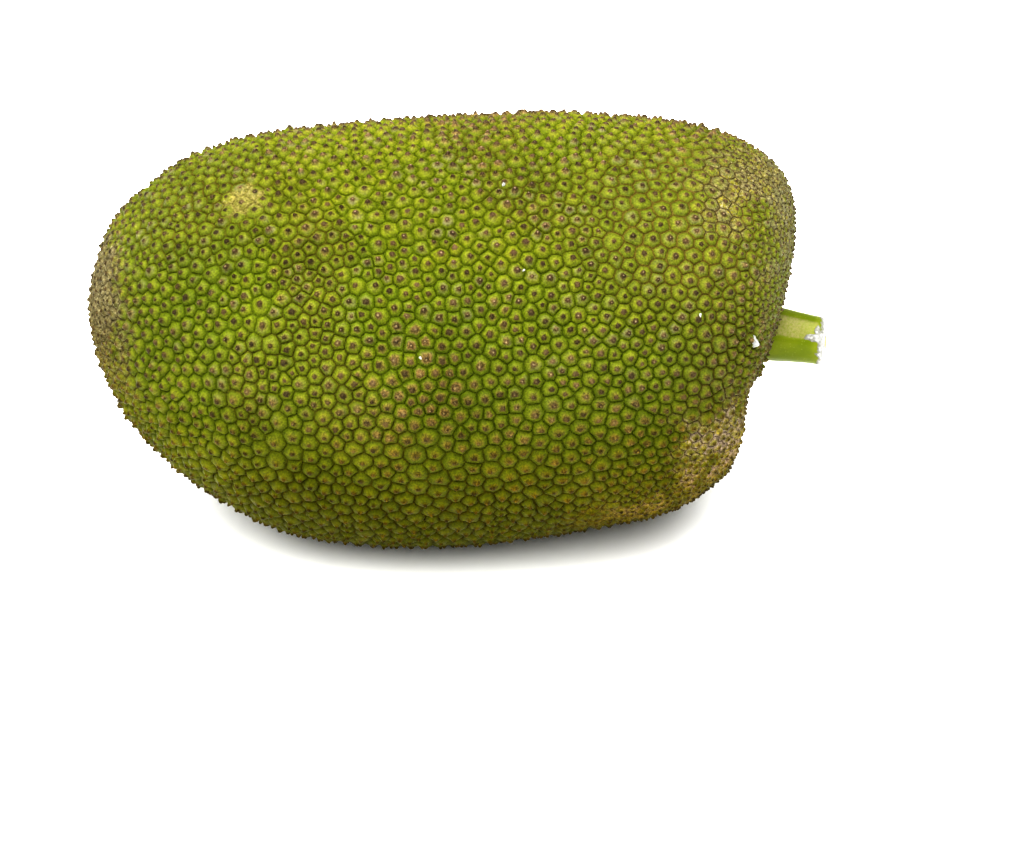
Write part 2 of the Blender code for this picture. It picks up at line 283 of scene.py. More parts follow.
# =====================================================================================================================
# 3. spread the tubercles: a site each, pushed apart until they fill the rind evenly but not regularly
# =====================================================================================================================
def spread():
    ns, na = 420, 200
    s_edges = np.interp(np.linspace(0, 1, ns + 1) * T_ARC[-1], T_ARC, T_S)
    s_mid = 0.5 * (s_edges[1:] + s_edges[:-1])
    a_mid = 2 * np.pi * (np.arange(na) + 0.5) / na
    gs, ga = (m.ravel() for m in np.meshgrid(s_mid, a_mid, indexing="ij"))
    ds = np.repeat(np.diff(s_edges), na)
    e1 = (body(gs + ds / 2, ga) - body(gs - ds / 2, ga))
    e2 = (body(gs, ga + np.pi / na) - body(gs, ga - np.pi / na))
    area = np.linalg.norm(np.cross(e1, e2), axis=1)
    mid = body(gs, ga)
    keep = np.linalg.norm(mid - MOUTH, axis=1) > HOLE + 0.004
    want = np.where(keep, area / (0.866 * pitch_at(mid) ** 2), 0)
    total = int(round(want.sum()))
    cum = np.cumsum(want)
    pick = np.searchsorted(cum, (np.arange(total) + RNG.random(total)) / total * cum[-1] * 0.9999999)
    s = gs[pick] + (RNG.random(total) - 0.5) * ds[pick]
    a = ga[pick] + (RNG.random(total) - 0.5) * 2 * np.pi / na
    rho = np.interp(s, T_S, T_RHO)
    w = np.stack([rho * np.cos(a), rho * np.sin(a)], 1)
    # a ring of still sites round the stem closes the field there
    ring = 20
    rs = float(np.interp(1 + S_DIMPLE * 0.85, T_S, T_RHO))
    ra = 2 * np.pi * (np.arange(ring) + 0.5) / ring
    fixed = np.stack([rs * np.cos(ra), rs * np.sin(ra)], 1)
    h = pitch_at(point(w)) * np.clip(np.exp(0.15 * RNG.standard_normal(total)), 0.70, 1.38)
    hf = np.full(ring, 4.6 * MM)
    rho_max = float(np.interp(1.004, T_S, T_RHO))
    steps = 34
    for it in range(steps):
        p = np.concatenate([point(w), point(fixed)])
        hh = np.concatenate([h, hf])
        tree = kdtree.KDTree(len(p))
        for i, q in enumerate(p.tolist()):
            tree.insert(q, i)
        tree.balance()
        idx = np.array([[j for _, j, _ in tree.find_n(q, 9)][1:] for q in p[:total].tolist()])
        d = p[:total, None, :] - p[idx]
        dist = np.linalg.norm(d, axis=2) + 1e-9
        reach = 0.5 * (hh[:total, None] + hh[idx]) * 1.16
        push = np.maximum(reach - dist, 0) * 0.42
        move = (d / dist[:, :, None] * push[:, :, None]).sum(1)
        a_, b_, _n = jac(w)
        aa, ab, bb = (a_ * a_).sum(1), (a_ * b_).sum(1), (b_ * b_).sum(1)
        ma, mb = (a_ * move).sum(1), (b_ * move).sum(1)
        det = aa * bb - ab * ab
        dw = np.stack([(bb * ma - ab * mb) / det, (aa * mb - ab * ma) / det], 1)
        w = w + dw * (1.0 if it < 24 else 0.6)
        rho = np.hypot(w[:, 0], w[:, 1])
        over = rho > rho_max
        w[over] *= (rho_max / rho[over])[:, None]
        if it in (6, 13, 20):
            h = 0.5 * h + 0.5 * pitch_at(point(w)) * np.clip(h / pitch_at(point(w)), 0.70, 1.38)
    return w, h, fixed, hf


def triangulate(w, p):
    """Delaunay triangles of the sites: first on the flat map, then made true on the body by flipping edges."""
    _v, _e, faces, orig, _oe, _of = geometry.delaunay_2d_cdt([Vector(q) for q in w.tolist()], [], [], 0, 1e-9)
    back = [o[0] for o in orig]
    tri = np.array([[back[i] for i in f] for f in faces])
    x = w[tri]
    cross = ((x[:, 1, 0] - x[:, 0, 0]) * (x[:, 2, 1] - x[:, 0, 1]) - (x[:, 1, 1] - x[:, 0, 1]) * (x[:, 2, 0] - x[:, 0, 0]))
    tri[cross < 0] = tri[cross < 0][:, ::-1]
    for _pass in range(12):
        n = len(tri)
        he = np.concatenate([tri[:, [0, 1]], tri[:, [1, 2]], tri[:, [2, 0]]])
        opp = np.concatenate([tri[:, 2], tri[:, 0], tri[:, 1]])
        face = np.tile(np.arange(n), 3)
        key = np.minimum(he[:, 0], he[:, 1]) * 100000 + np.maximum(he[:, 0], he[:, 1])
        order = np.argsort(key, kind="stable")
        ks = key[order]
        same = np.nonzero(ks[1:] == ks[:-1])[0]
        h1, h2 = order[same], order[same + 1]
        a, b = he[h1, 0], he[h1, 1]
        c, d = opp[h1], opp[h2]

        def ang(o, u, v):
            e, f = p[u] - p[o], p[v] - p[o]
            return np.arccos(np.clip((e * f).sum(1) / np.linalg.norm(e, axis=1) / np.linalg.norm(f, axis=1), -1, 1))

        bad = np.nonzero(ang(c, a, b) + ang(d, a, b) > math.pi + 0.02)[0]
        used, flips = set(), 0
        for k in bad.tolist():
            f1, f2 = int(face[h1[k]]), int(face[h2[k]])
            if f1 in used or f2 in used:
                continue
            used.update((f1, f2))
            tri[f1] = (c[k], a[k], d[k])
            tri[f2] = (d[k], b[k], c[k])
            flips += 1
        if not flips:
            break
    return tri


# =====================================================================================================================
# 4. cells and their meshes
# =====================================================================================================================
def build_cells():
    w, h, fixed, hf = spread()
    total = len(w)
    allw = np.concatenate([w, fixed])
    allh = np.concatenate([h, hf])
    p = point(allw)
    tri = triangulate(allw, p)
    # corner of three neighbouring cells: the point level with all three, eased towards their middle
    i, j, k = tri.T
    u, v = p[j] - p[i], p[k] - p[i]
    wt = (0.5 * allh) ** 2 * 0.55
    uu, uv, vv = (u * u).sum(1), (u * v).sum(1), (v * v).sum(1)
    r1, r2 = 0.5 * (uu - wt[j] + wt[i]), 0.5 * (vv - wt[k] + wt[i])
    det = uu * vv - uv * uv
    be, ga = (vv * r1 - uv * r2) / det, (uu * r2 - uv * r1) / det
    bary = np.stack([1 - be - ga, be, ga], 1)
    bary = np.clip(bary * 0.80 + 0.20 / 3, 0.06, None)
    bary /= bary.sum(1, keepdims=True)
    cw = (allw[tri] * bary[:, :, None]).sum(1)
    # cyclic order of the triangles round each site
    nxt = {}
    for t, (a, b, c) in enumerate(tri.tolist()):
        nxt[(a, b)] = (t, c)
        nxt[(b, c)] = (t, a)
        nxt[(c, a)] = (t, b)
    start = {}
    for (a, b), _tc in nxt.items():
        start.setdefault(a, b)
    rings = []
    for s in range(total):
        b = start[s]
        ts, nb = [], []
        first = b
        ok = True
        for _ in range(20):
            hit = nxt.get((s, b))
            if hit is None:
                ok = False
                break
            ts.append(hit[0])
            nb.append(b)
            b = hit[1]
            if b == first:
                break
        if not ok or len(ts) < 4:
            rings.append(None)
        else:
            rings.append((ts, nb))
    return dict(w=allw, h=allh, p=p, tri=tri, cw=cw, rings=rings, total=total)



CELLS = build_cells()


def unit(v):
    return v / np.maximum(np.linalg.norm(v, axis=-1, keepdims=True), 1e-12)


HIGH = 3.60 * MM      # depth of the grooves below the envelope


def skin():
    """All tubercles as vertex and face arrays, with the data the rind's material reads."""
    c = CELLS
    n_cells, tri, cw, rings = c["total"], c["tri"], c["cw"], c["rings"]
    w = c["w"][:n_cells]
    n_tri = len(tri)
    # shared points: a corner for each triangle, and a middle for each edge between two triangles
    edge_id, edges = {}, []
    for ts, _nb in rings:
        for q in range(len(ts)):
            a, b = ts[q], ts[(q + 1) % len(ts)]
            key = (a, b) if a < b else (b, a)
            if key not in edge_id:
                edge_id[key] = len(edges)
                edges.append(key)
    edges = np.array(edges)
    mw = 0.5 * (cw[edges[:, 0]] + cw[edges[:, 1]])
    shared_w = np.concatenate([cw, mw])
    p_sh = point(shared_w)
    _a, _b, n_sh = jac(shared_w)
    # slightly bowed grooves
    along = p_sh[edges[:, 1]] - p_sh[edges[:, 0]]
    side = unit(np.cross(n_sh[n_tri:], along)) * np.linalg.norm(along, axis=1, keepdims=True)
    p_sh[n_tri:] += side * RNG.normal(0, 0.035, len(edges))[:, None]
    h_sh = RNG.normal(0, 0.10, len(p_sh)) * MM
    h_sh[:n_tri] -= 0.16 * MM
    # centre of each cell, a little off the mean of its corners
    mean_w = np.array([cw[ts].mean(0) for ts, _ in rings])
    cen_w = 0.25 * w + 0.75 * mean_w
    p_c = point(cen_w)
    _a, _b, n_c = jac(cen_w)
    mask = masks_at(p_c)
    cork, rust, brown, pale = mask.T
    jit = RNG.random((n_cells, 6))
    q_c = own_axes(p_c)
    dst = np.linalg.norm(p_c - MOUTH, axis=1)
    rind_r = np.array([np.linalg.norm(p_sh[ts] - p_c[i], axis=1).mean() for i, (ts, _) in enumerate(rings)])
    size = rind_r / (4.0 * MM)
    flat_zone = spot(q_c, near(0.132, 0.052), (0.060, 0.046, 0.09), 0.4)
    flat_zone = np.maximum(flat_zone, 0.55 * smooth(-0.060, -0.120, q_c[:, 0]) * smooth(0.0, 0.05, q_c[:, 1]))
    high = 2.62 * MM * np.clip(size, 0.62, 1.10) * (0.82 + 0.32 * jit[:, 0])
    high *= 1 - 0.45 * cork - 0.38 * flat_zone
    knob_h = 1.30 * MM * np.clip(size, 0.7, 1.1) * (0.66 + 0.62 * jit[:, 1]) * (1 - 0.30 * cork - 0.15 * flat_zone)
    knob_r = 1.13 * MM * np.clip(size, 0.70, 1.10) * (0.78 + 0.44 * jit[:, 2]) * (1 - 0.12 * flat_zone)
    under = smooth(-0.025, -0.070, q_c[:, 1])
    knob_h *= 1 - 0.22 * under
    knob_r *= 1 - 0.16 * under
    knob_r *= 1 - 0.18 * smooth(0.150, 0.172, q_c[:, 0])
    scar = spot(q_c, (-0.085, 0.060, -0.073), (0.011, 0.009, 0.03), 0.5)
    knob_h *= 1 - 0.75 * scar
    high *= 1 - 0.35 * scar
    stunt = jit[:, 3] < 0.035
    knob_h[stunt] *= 0.35
    lean = unit(RNG.standard_normal((n_cells, 3))) * 0.42 * MM * size[:, None]
    lean -= n_c * (lean * n_c).sum(1, keepdims=True)

    verts, dat1, dat2, vw = [p_sh - n_sh * (HIGH - h_sh)[:, None]], [], [], [shared_w]
    m_sh = masks_at(p_sh)
    dat1.append(np.stack([np.ones(len(p_sh)), np.full(len(p_sh), 0.5), m_sh[:, 0], m_sh[:, 1]], 1))
    dat2.append(np.stack([np.zeros(len(p_sh)), np.full(len(p_sh), 0.5), m_sh[:, 2], m_sh[:, 3]], 1))
    count = len(p_sh)
    faces4, faces3, own4, own3 = [], [], [], []

    sides = np.array([len(ts) for ts, _ in rings])
    # (share of the way to the edge, share of the dome's height, how far corners are pulled in, ridge of the corners)
    OUT = ((0.955, 0.20, 0.004, 0.0), (0.870, 0.42, 0.025, 0.05), (0.700, 0.635, 0.050, 0.09))
    for m in range(4, int(sides.max()) + 1):
        ids = np.nonzero(sides == m)[0]
        if not len(ids):
            continue
        K = len(ids)
        tri_ids = np.array([rings[i][0] for i in ids])
        mid_ids = np.array([[edge_id[(a, b) if a < b else (b, a)] for a, b in zip(ts, ts[1:] + ts[:1])]
                            for ts in (rings[i][0] for i in ids)]) + n_tri
        bd = np.empty((K, 2 * m), int)
        bd[:, 0::2] = tri_ids
        bd[:, 1::2] = mid_ids
        B, NB, WB = p_sh[bd], n_sh[bd], shared_w[bd]
        C, N, WC = p_c[ids][:, None], n_c[ids][:, None], cen_w[ids][:, None]
        H, LN = high[ids][:, None], lean[ids][:, None]
        corner = np.zeros(2 * m)
        corner[0::2] = 1.0

        def put(P, W, t, knob):
            nonlocal count
            k = P.shape[1]
            verts.append(P.reshape(-1, 3))
            vw.append(W.reshape(-1, 2))
            cell = np.repeat(ids, k)
            edge = bd if k == 2 * m else bd[:, 0::2] if k == m else None
            mk = mask[cell] if edge is None else mask[cell] * (1 - t) + m_sh[edge.ravel()] * t
            dat1.append(np.stack([np.full(K * k, t), jit[cell, 4], mk[:, 0], mk[:, 1]], 1))
            dat2.append(np.stack([np.full(K * k, knob), jit[cell, 5], mk[:, 2], mk[:, 3]], 1))
            base = count + np.arange(K)[:, None] * k + np.arange(k)[None]
            count += K * k
            return base

        def strip(o, i):
            k = o.shape[1]
            r = np.roll
            f = np.stack([o, r(o, -1, 1), r(i, -1, 1), i], 2)
            faces4.append(f.reshape(-1, 4))
            own4.append(np.repeat(ids, k))

        prev = bd
        for t, hh, pull, ridge in OUT:
            tt = (t * (1 - pull * corner))[None, :, None] * (1 + min(0.05, 0.35 * (1 - t)) * np.clip(RNG.standard_normal((K, 2 * m, 1)), -1.8, 1.8) * 0.62)
            lift = H * (hh + ridge * (corner - 0.5))[None] * (1 + 0.075 * RNG.standard_normal((K, 2 * m)))
            nn = unit(N * (1 - t) + NB * t)
            P = C + (B - C) * tt + nn * (lift - HIGH)[:, :, None] + LN * (1 - t)
            cur = put(P, WC + (WB - WC) * tt, t, 0.0)
            strip(prev, cur)
            prev = cur
        # inner crown ring, at the corners' directions only
        t = 0.46
        Bc, NBc, WBc = B[:, 0::2], NB[:, 0::2], WB[:, 0::2]
        P = C + (Bc - C) * t * (1 + 0.07 * np.clip(RNG.standard_normal((K, m, 1)), -2, 2)) \
            + N * (H * (0.835 + 0.045 * RNG.standard_normal((K, m))) - HIGH)[:, :, None] + LN * (1 - t)
        cur = put(P, WC + (WBc - WC) * t, t, 0.0)
        a, b, c2 = prev[:, 0::2], prev[:, 1::2], np.roll(prev[:, 0::2], -1, 1)
        i0, i1 = cur, np.roll(cur, -1, 1)
        for f in (np.stack([a, b, i0], 2), np.stack([b, i1, i0], 2), np.stack([b, c2, i1], 2)):
            faces3.append(f.reshape(-1, 3))
            own3.append(np.repeat(ids, m))
        prev = cur
        # the dry tip: foot, belt, shoulder and point
        dirs = unit((Bc - C) - N * ((Bc - C) * N).sum(2, keepdims=True))
        R, KH = knob_r[ids][:, None], knob_h[ids][:, None]
        reach = np.linalg.norm(Bc - C, axis=2)
        for fr, fh, kn in ((1.30, 0.0, 0.0), (0.94, 0.48, 0.75), (0.55, 0.90, 1.0)):
            rr = R * fr * (1 + 0.11 * RNG.standard_normal((K, m)))
            P = C + dirs * rr[:, :, None] + N * (H * 1.0 + KH * fh * (1 + 0.05 * RNG.standard_normal((K, m))) - HIGH)[:, :, None] \
                + LN * (1 + 0.5 * fh)
            frac = (rr / reach)[:, :, None]
            cur = put(P, WC + (WBc - WC) * frac, 0.24 if kn == 0 else 0.12, kn)
            strip(prev, cur)
            prev = cur
        P = C + N * (H + KH * (1.0 + 0.10 * RNG.standard_normal((K, 1))) - HIGH)[:, :, None] + LN * 1.5
        cur = put(P, WC, 0.0, 1.0)
        f = np.stack([prev, np.roll(prev, -1, 1), np.repeat(cur, m, 1)], 2)
        faces3.append(f.reshape(-1, 3))
        own3.append(np.repeat(ids, m))
    V = np.concatenate(verts)
    # nothing reaches below the surface it rests on: the tips there are squashed
    V[:, 2] = np.where(V[:, 2] < 0.25 * MM, np.maximum(V[:, 2] * 0.3, 0), V[:, 2])
    return dict(V=V, W=np.concatenate(vw), d1=np.concatenate(dat1), d2=np.concatenate(dat2),
                f4=np.concatenate(faces4), f3=np.concatenate(faces3), o4=np.concatenate(own4), o3=np.concatenate(own3),
                s=at(cen_w)[0], p=p_c, w=cen_w, edges=edges, tri=tri, n_tri=n_tri, edge_id=edge_id)


SKIN = skin()


# =====================================================================================================================
# 5. rind pieces: four bands of whole tubercles, and the collar round the stem
# =====================================================================================================================
NAMES1 = ("cell_t", "cell_rnd", "cell_cork", "cell_rust")
NAMES2 = ("cell_knob", "cell_rnd2", "cell_brown", "cell_pale")


def flat_mesh(name, V, quads, tris, N=None, data=None, uv=None):
    """Mesh object from arrays; data is {name: values per vertex}, uv is one pair per face corner."""
    me = bpy.data.meshes.new(name)
    n4, n3 = len(quads), len(tris)
    me.vertices.add(len(V))
    me.vertices.foreach_set("co", np.ascontiguousarray(V, np.float32).ravel())
    loops = np.concatenate([np.asarray(quads).ravel(), np.asarray(tris).ravel()]).astype(np.int32)
    me.loops.add(len(loops))
    me.loops.foreach_set("vertex_index", loops)
    me.polygons.add(n4 + n3)
    me.polygons.foreach_set("loop_start", np.concatenate([np.arange(n4) * 4, n4 * 4 + np.arange(n3) * 3]).astype(np.int32))
    me.polygons.foreach_set("use_smooth", np.ones(n4 + n3, bool))
    me.update(calc_edges=True)
    if uv is not None:
        lay = me.uv_layers.new(name="OFBake")
        lay.data.foreach_set("uv", np.ascontiguousarray(uv, np.float32).ravel())
    for key, val in (data or {}).items():
        me.attributes.new(key, "FLOAT", "POINT").data.foreach_set("value", np.ascontiguousarray(val, np.float32))
    if N is not None:
        me.normals_split_custom_set_from_vertices(N.tolist())
    ob = bpy.data.objects.new(name, me)
    bpy.context.scene.collection.objects.link(ob)
    return ob


def vertex_normals(V, quads, tris):
    N = np.zeros_like(V)
    for f in (quads[:, [0, 1, 2]], quads[:, [0, 2, 3]], tris):
        if len(f):
            n = np.cross(V[f[:, 1]] - V[f[:, 0]], V[f[:, 2]] - V[f[:, 0]])
            for k in range(3):
                np.add.at(N, f[:, k], n)
    return unit(N)


def collar(skin):
    """Rings from the last tubercles' outer grooves over a low lip and down the socket; returns its points and faces."""
    V, f4, f3 = skin["V"], skin["f4"], skin["f3"]
    he = np.concatenate([f4[:, [0, 1]], f4[:, [1, 2]], f4[:, [2, 3]], f4[:, [3, 0]], f3[:, [0, 1]], f3[:, [1, 2]], f3[:, [2, 0]]])
    big = len(V) + 1
    code, back = he[:, 0] * big + he[:, 1], he[:, 1] * big + he[:, 0]
    open_ = he[~np.isin(back, code)]
    # the open edges run the cells' way; follow them into loops and take the one round the stem
    nxt = {int(a): int(b) for a, b in open_}
    loops, seen = [], set()
    for a in nxt:
        if a in seen:
            continue
        loop = [a]
        seen.add(a)
        b = nxt[a]
        while b != a and b in nxt and b not in seen:
            loop.append(b)
            seen.add(b)
            b = nxt[b]
        loops.append(loop)
    loops.sort(key=len, reverse=True)
    loop = np.array(loops[0])
    top = turn(np.array([[0.0, 0.0, 1.0]]))[0]
    top = unit(top - STEM_OUT * top.dot(STEM_OUT))
    side = -np.cross(STEM_OUT, top)
    rel = V[loop] - MOUTH
    ang = np.unwrap(np.arctan2(rel @ side, rel @ top))
    sign = 1 if ang[-1] > ang[0] else -1
    even = ang[0] + sign * 2 * np.pi * np.arange(len(loop)) / len(loop)
    slope = STEM_OUT.dot(END_OUT)
    step = 4
    n = len(loop)
    prof = ((3.1, -1.75), (2.45, -0.55), (1.85, 0.30), (1.25, 0.85), (0.70, 0.95), (0.25, 0.62), (0.02, -0.1),
            (-0.06, -1.6), (-0.10, -4.0), (-0.12, -6.0))
    pts, faces = [], []
    count = len(V)
    first = True
    for q, (r, h) in enumerate(prof):
        blend = min(1.0, q / 4)
        base = ang * (1 - blend) + even * blend
        ends = np.append(base, base[0] + sign * 2 * np.pi)
        a = (ends[:-1, None] + (ends[1:] - ends[:-1])[:, None] * np.arange(step) / step).ravel()
        rr = (HOLE + r * MM) * np.ones(len(a))
        hh = h * MM * np.ones(len(a))
        if q < 6:
            k = math.sin(math.pi * (q + 1) / 7)
            rr += MM * k * (0.20 * np.sin(7 * a + 1.0) + 0.16 * np.sin(13 * a + 2.2) + 0.10 * np.sin(29 * a + 0.4))
            hh += MM * k * (0.34 * np.sin(9 * a + 0.3) + 0.26 * np.sin(17 * a + 1.9) + 0.22 * np.sin(37 * a + q))
        wall = (top[None] * np.cos(a)[:, None] + side[None] * np.sin(a)[:, None]) * rr[:, None]
        pts.append(MOUTH + wall + STEM_OUT * ((hh - wall @ END_OUT) / slope)[:, None])
        m = len(a)
        cur = count + np.arange(m)
        count += m
        if first:
            for i in range(n):
                a0, b0 = int(loop[i]), int(loop[(i + 1) % n])
                c = [int(cur[(i * step + k) % m]) for k in range(step + 1)]
                half = step // 2
                faces += [(a0, c[k + 1], c[k]) for k in range(half)]
                faces.append((a0, b0, c[half]))
                faces += [(b0, c[k + 1], c[k]) for k in range(half, step)]
            first = False
        else:
            for i in range(m):
                j = (i + 1) % m
                faces += [(int(last[i]), int(last[j]), int(cur[j])), (int(last[i]), int(cur[j]), int(cur[i]))]
        last = cur
    P = np.concatenate(pts)
    F = np.array(faces)
    # the same winding as the tubercles: the open edge a->b of a cell is b->a in the collar
    first_edge = set(map(tuple, np.concatenate([F[:, [0, 1]], F[:, [1, 2]], F[:, [2, 0]]]).tolist()))
    if (int(loop[0]), int(loop[1])) in first_edge:
        F = F[:, ::-1]
    return P, F


def rind_pieces():
    sk = SKIN
    CP, CF = collar(sk)
    V = np.concatenate([sk["V"], CP])
    nC = len(CP)
    rel = CP - MOUTH
    axial = rel @ END_OUT
    radial = np.linalg.norm(rel - axial[:, None] * END_OUT, axis=1)
    deep = np.clip((-axial - 0.001) / 0.005, 0, 1)
    tC = np.clip(0.62 + 0.35 * smooth(0.0023, 0.0033, radial - HOLE) + 0.3 * deep, 0, 1)
    m = masks_at(CP)
    d1 = np.concatenate([sk["d1"], np.stack([tC, np.full(nC, 0.5), np.full(nC, 0.55), m[:, 1]], 1)])
    d2 = np.concatenate([sk["d2"], np.stack([np.zeros(nC), np.full(nC, 0.5), np.full(nC, 0.7), m[:, 3]], 1)])
    # flat-map places for the collar, carried on inwards so that its texture doesn't overlap the cells'
    rho_end = float(np.interp(1 + S_DIMPLE * 0.85, T_S, T_RHO))
    f4, f3 = sk["f4"], np.concatenate([sk["f3"], CF])
    o4, o3 = sk["o4"], np.concatenate([sk["o3"], np.full(len(CF), -1)])
    N = vertex_normals(V, f4, f3)
    rho = np.hypot(sk["W"][:, 0], sk["W"][:, 1])
    arc = np.interp(rho, T_RHO, T_ARC)
    th = np.arctan2(sk["W"][:, 1], sk["W"][:, 0])
    # the collar: arc grows with the ring number, angle from its own place
    e1 = turn(np.array([[0.0, 0.0, 1.0]]))[0]
    e1 = unit(e1 - END_OUT * e1.dot(END_OUT))
    e2 = turn(np.array([[0.0, 1.0, 0.0]]))[0]
    thC = np.arctan2(rel @ e2, rel @ e1)
    arcC = np.empty(nC)
    loop_len = nC // 10
    loop_arc = float(np.interp(rho_end, T_RHO, T_ARC)) + 0.0012
    for q in range(10):
        arcC[q * loop_len:(q + 1) * loop_len] = loop_arc + 0.0009 * q
    arc = np.concatenate([arc, arcC])
    th = np.concatenate([th, thC])
    cell_arc = np.interp(np.hypot(sk["w"][:, 0], sk["w"][:, 1]), T_RHO, T_ARC)
    cell_th = np.arctan2(sk["w"][:, 1], sk["w"][:, 0])
    tris = 2 * np.bincount(o4, minlength=len(cell_arc)) + np.bincount(sk["o3"], minlength=len(cell_arc))
    order = np.argsort(cell_arc, kind="stable")
    share = np.cumsum(tris[order]) / tris.sum()
    band = np.empty(len(cell_arc), int)
    band[order] = np.minimum((share * 4 - 1e-9).astype(int), 3)
    end_arc = arc.max() + 0.0005
    out = []
    for b, name in enumerate(("rind_1_blossom_end", "rind_2_belly", "rind_3_belly", "rind_4_stem_end")):
        in4 = band[o4] == b
        in3 = np.where(o3 < 0, b == 3, band[np.maximum(o3, 0)] == b)
        q4, q3 = f4[in4], f3[in3]
        used, inv = np.unique(np.concatenate([q4.ravel(), q3.ravel()]), return_inverse=True)
        g4, g3 = inv[: q4.size].reshape(-1, 4), inv[q4.size:].reshape(-1, 3)
        own = np.concatenate([np.repeat(o4[in4], 4), np.repeat(o3[in3], 3)])
        vid = np.concatenate([q4.ravel(), q3.ravel()])
        a, t = arc[vid], th[vid]
        # the angle is unrolled about the owner's, and about the face's first corner for the collar
        ref = np.where(own >= 0, cell_th[np.maximum(own, 0)], 0.0)
        first = np.concatenate([np.repeat(th[q4[:, 0]], 4), np.repeat(th[q3[:, 0]], 3)])
        ref = np.where(own >= 0, ref, first)
        t = ref + (t - ref + np.pi) % (2 * np.pi) - np.pi
        if b == 0:
            uv = np.stack([a * np.cos(t), a * np.sin(t)], 1)
        elif b == 3:
            uv = np.stack([(end_arc - a) * np.cos(t), (end_arc - a) * np.sin(t)], 1)
        else:
            uv = np.stack([t, a], 1)
        lo, hi = uv.min(0), uv.max(0)
        uv = 0.008 + 0.984 * (uv - lo) / (hi - lo)
        data = {k: d1[used, i] for i, k in enumerate(NAMES1)}
        data.update({k: d2[used, i] for i, k in enumerate(NAMES2)})
        out.append(flat_mesh(name, V[used], g4, g3, N[used], data, uv))
    return out


RIND = rind_pieces()


# =====================================================================================================================
# 6. the cut stem, and the dried latex on it and on the rind
# =====================================================================================================================
S_TOP = turn(np.array([[0.0, 0.0, 1.0]]))[0]
S_TOP = unit(S_TOP - STEM_OUT * S_TOP.dot(STEM_OUT))
S_SIDE = -np.cross(STEM_OUT, S_TOP)
S_BASE = MOUTH - STEM_OUT * (SOCKET_DEPTH - SEAT_GAP)
S_LONG = SOCKET_DEPTH - SEAT_GAP + DIMPLE_DEPTH + STEM_SHOWS
CUT_TILT = (-0.085, -0.035)     # the cut isn't quite square to the stem
CUT_ROUND = 3.3 * MM            # how far its worn rim is rounded
CUT_CROWN = 0.8 * MM            # how far the dried face bulges


def wave(a, k, seed):
    """Sum of a few round-the-stem waves."""
    r = np.random.default_rng(seed)
    out = 0
    for n in k:
        out = out + math.sqrt(1 / n) * r.uniform(0.5, 1.0) * np.sin(n * a + r.uniform(0, 6.28))
    return out


def stem_point(u, a):
    """Point and outward direction of the stem's skin: u is 0..1 along the side, 1..2 over the rim and in over the cut."""
    side = np.clip(u, 0, 1)
    over = np.clip(u - 1, 0, 1)
    edge = CUT_ROUND
    lay = side * (S_LONG - CUT_CROWN - edge)
    rad = STEM_RADIUS + (STEM_END_RADIUS - STEM_RADIUS) * smooth(0.1, 1.05, side) ** 0.9 - 0.10 * MM
    ribs = 0.10 * wave(a + 0.35 * side, (5, 8, 13), 5) + 0.045 * wave(a, (24, 31, 43), 6)
    ribs = ribs + 0.05 * np.sin(side * 19 + 2 * np.sin(a)) * smooth(0.35, 0.8, side)
    rad = rad + ribs * MM * smooth(0.0, 0.4, side)
    # rim and cut face
    ra = np.clip(over / 0.10, 0, 1) * math.pi / 2
    inner = np.clip((over - 0.10) / 0.90, 0, 1)
    r = np.where(over > 0, (rad - edge * (1 - np.cos(ra))) * (1 - inner), rad)
    z = lay + np.where(over > 0, edge * np.sin(ra), 0)
    d = S_TOP * np.cos(a)[..., None] + S_SIDE * np.sin(a)[..., None]
    tilt = (CUT_TILT[0] * np.cos(a) + CUT_TILT[1] * np.sin(a)) * r
    q = r / STEM_END_RADIUS
    dish = np.where(over > 0, 1, 0) * (0.30 * MM * np.cos(3.1 * q) * smooth(0, 0.2, inner)
                                       + 0.09 * MM * np.sin(11 * q * np.cos(a - 0.6)) * smooth(0, 0.15, inner))
    dish = dish + np.where(over > 0, 1, 0) * CUT_CROWN * np.clip(1 - (q / 0.84) ** 2, 0, 1) * smooth(0, 0.15, inner)
    z = z + tilt * smooth(0.80, 1.0, side) + dish
    P = S_BASE + STEM_OUT * z[..., None] + d * r[..., None]
    nz = np.where(over > 0, np.sin(ra), 0.0)
    n = d * np.where(over > 0, np.cos(ra), 1.0)[..., None] + STEM_OUT * nz[..., None]
    return P, unit(n), r, z


def grid_faces(rows, cols, base=0, wrap=True):
    i, j = np.meshgrid(np.arange(rows - 1), np.arange(cols if wrap else cols - 1), indexing="ij")
    a = i * cols + j
    b = i * cols + (j + 1) % cols
    return (np.stack([a, b, b + cols, a + cols], -1) + base).reshape(-1, 4)


def outward(V, quads, tris, ob_normals):
    """Flip the faces if most of them look inwards."""
    n = np.cross(V[quads[:, 1]] - V[quads[:, 0]], V[quads[:, 2]] - V[quads[:, 0]])
    if (n * ob_normals[quads[:, 0]]).sum() < 0:
        return quads[:, ::-1], tris[:, ::-1]
    return quads, tris


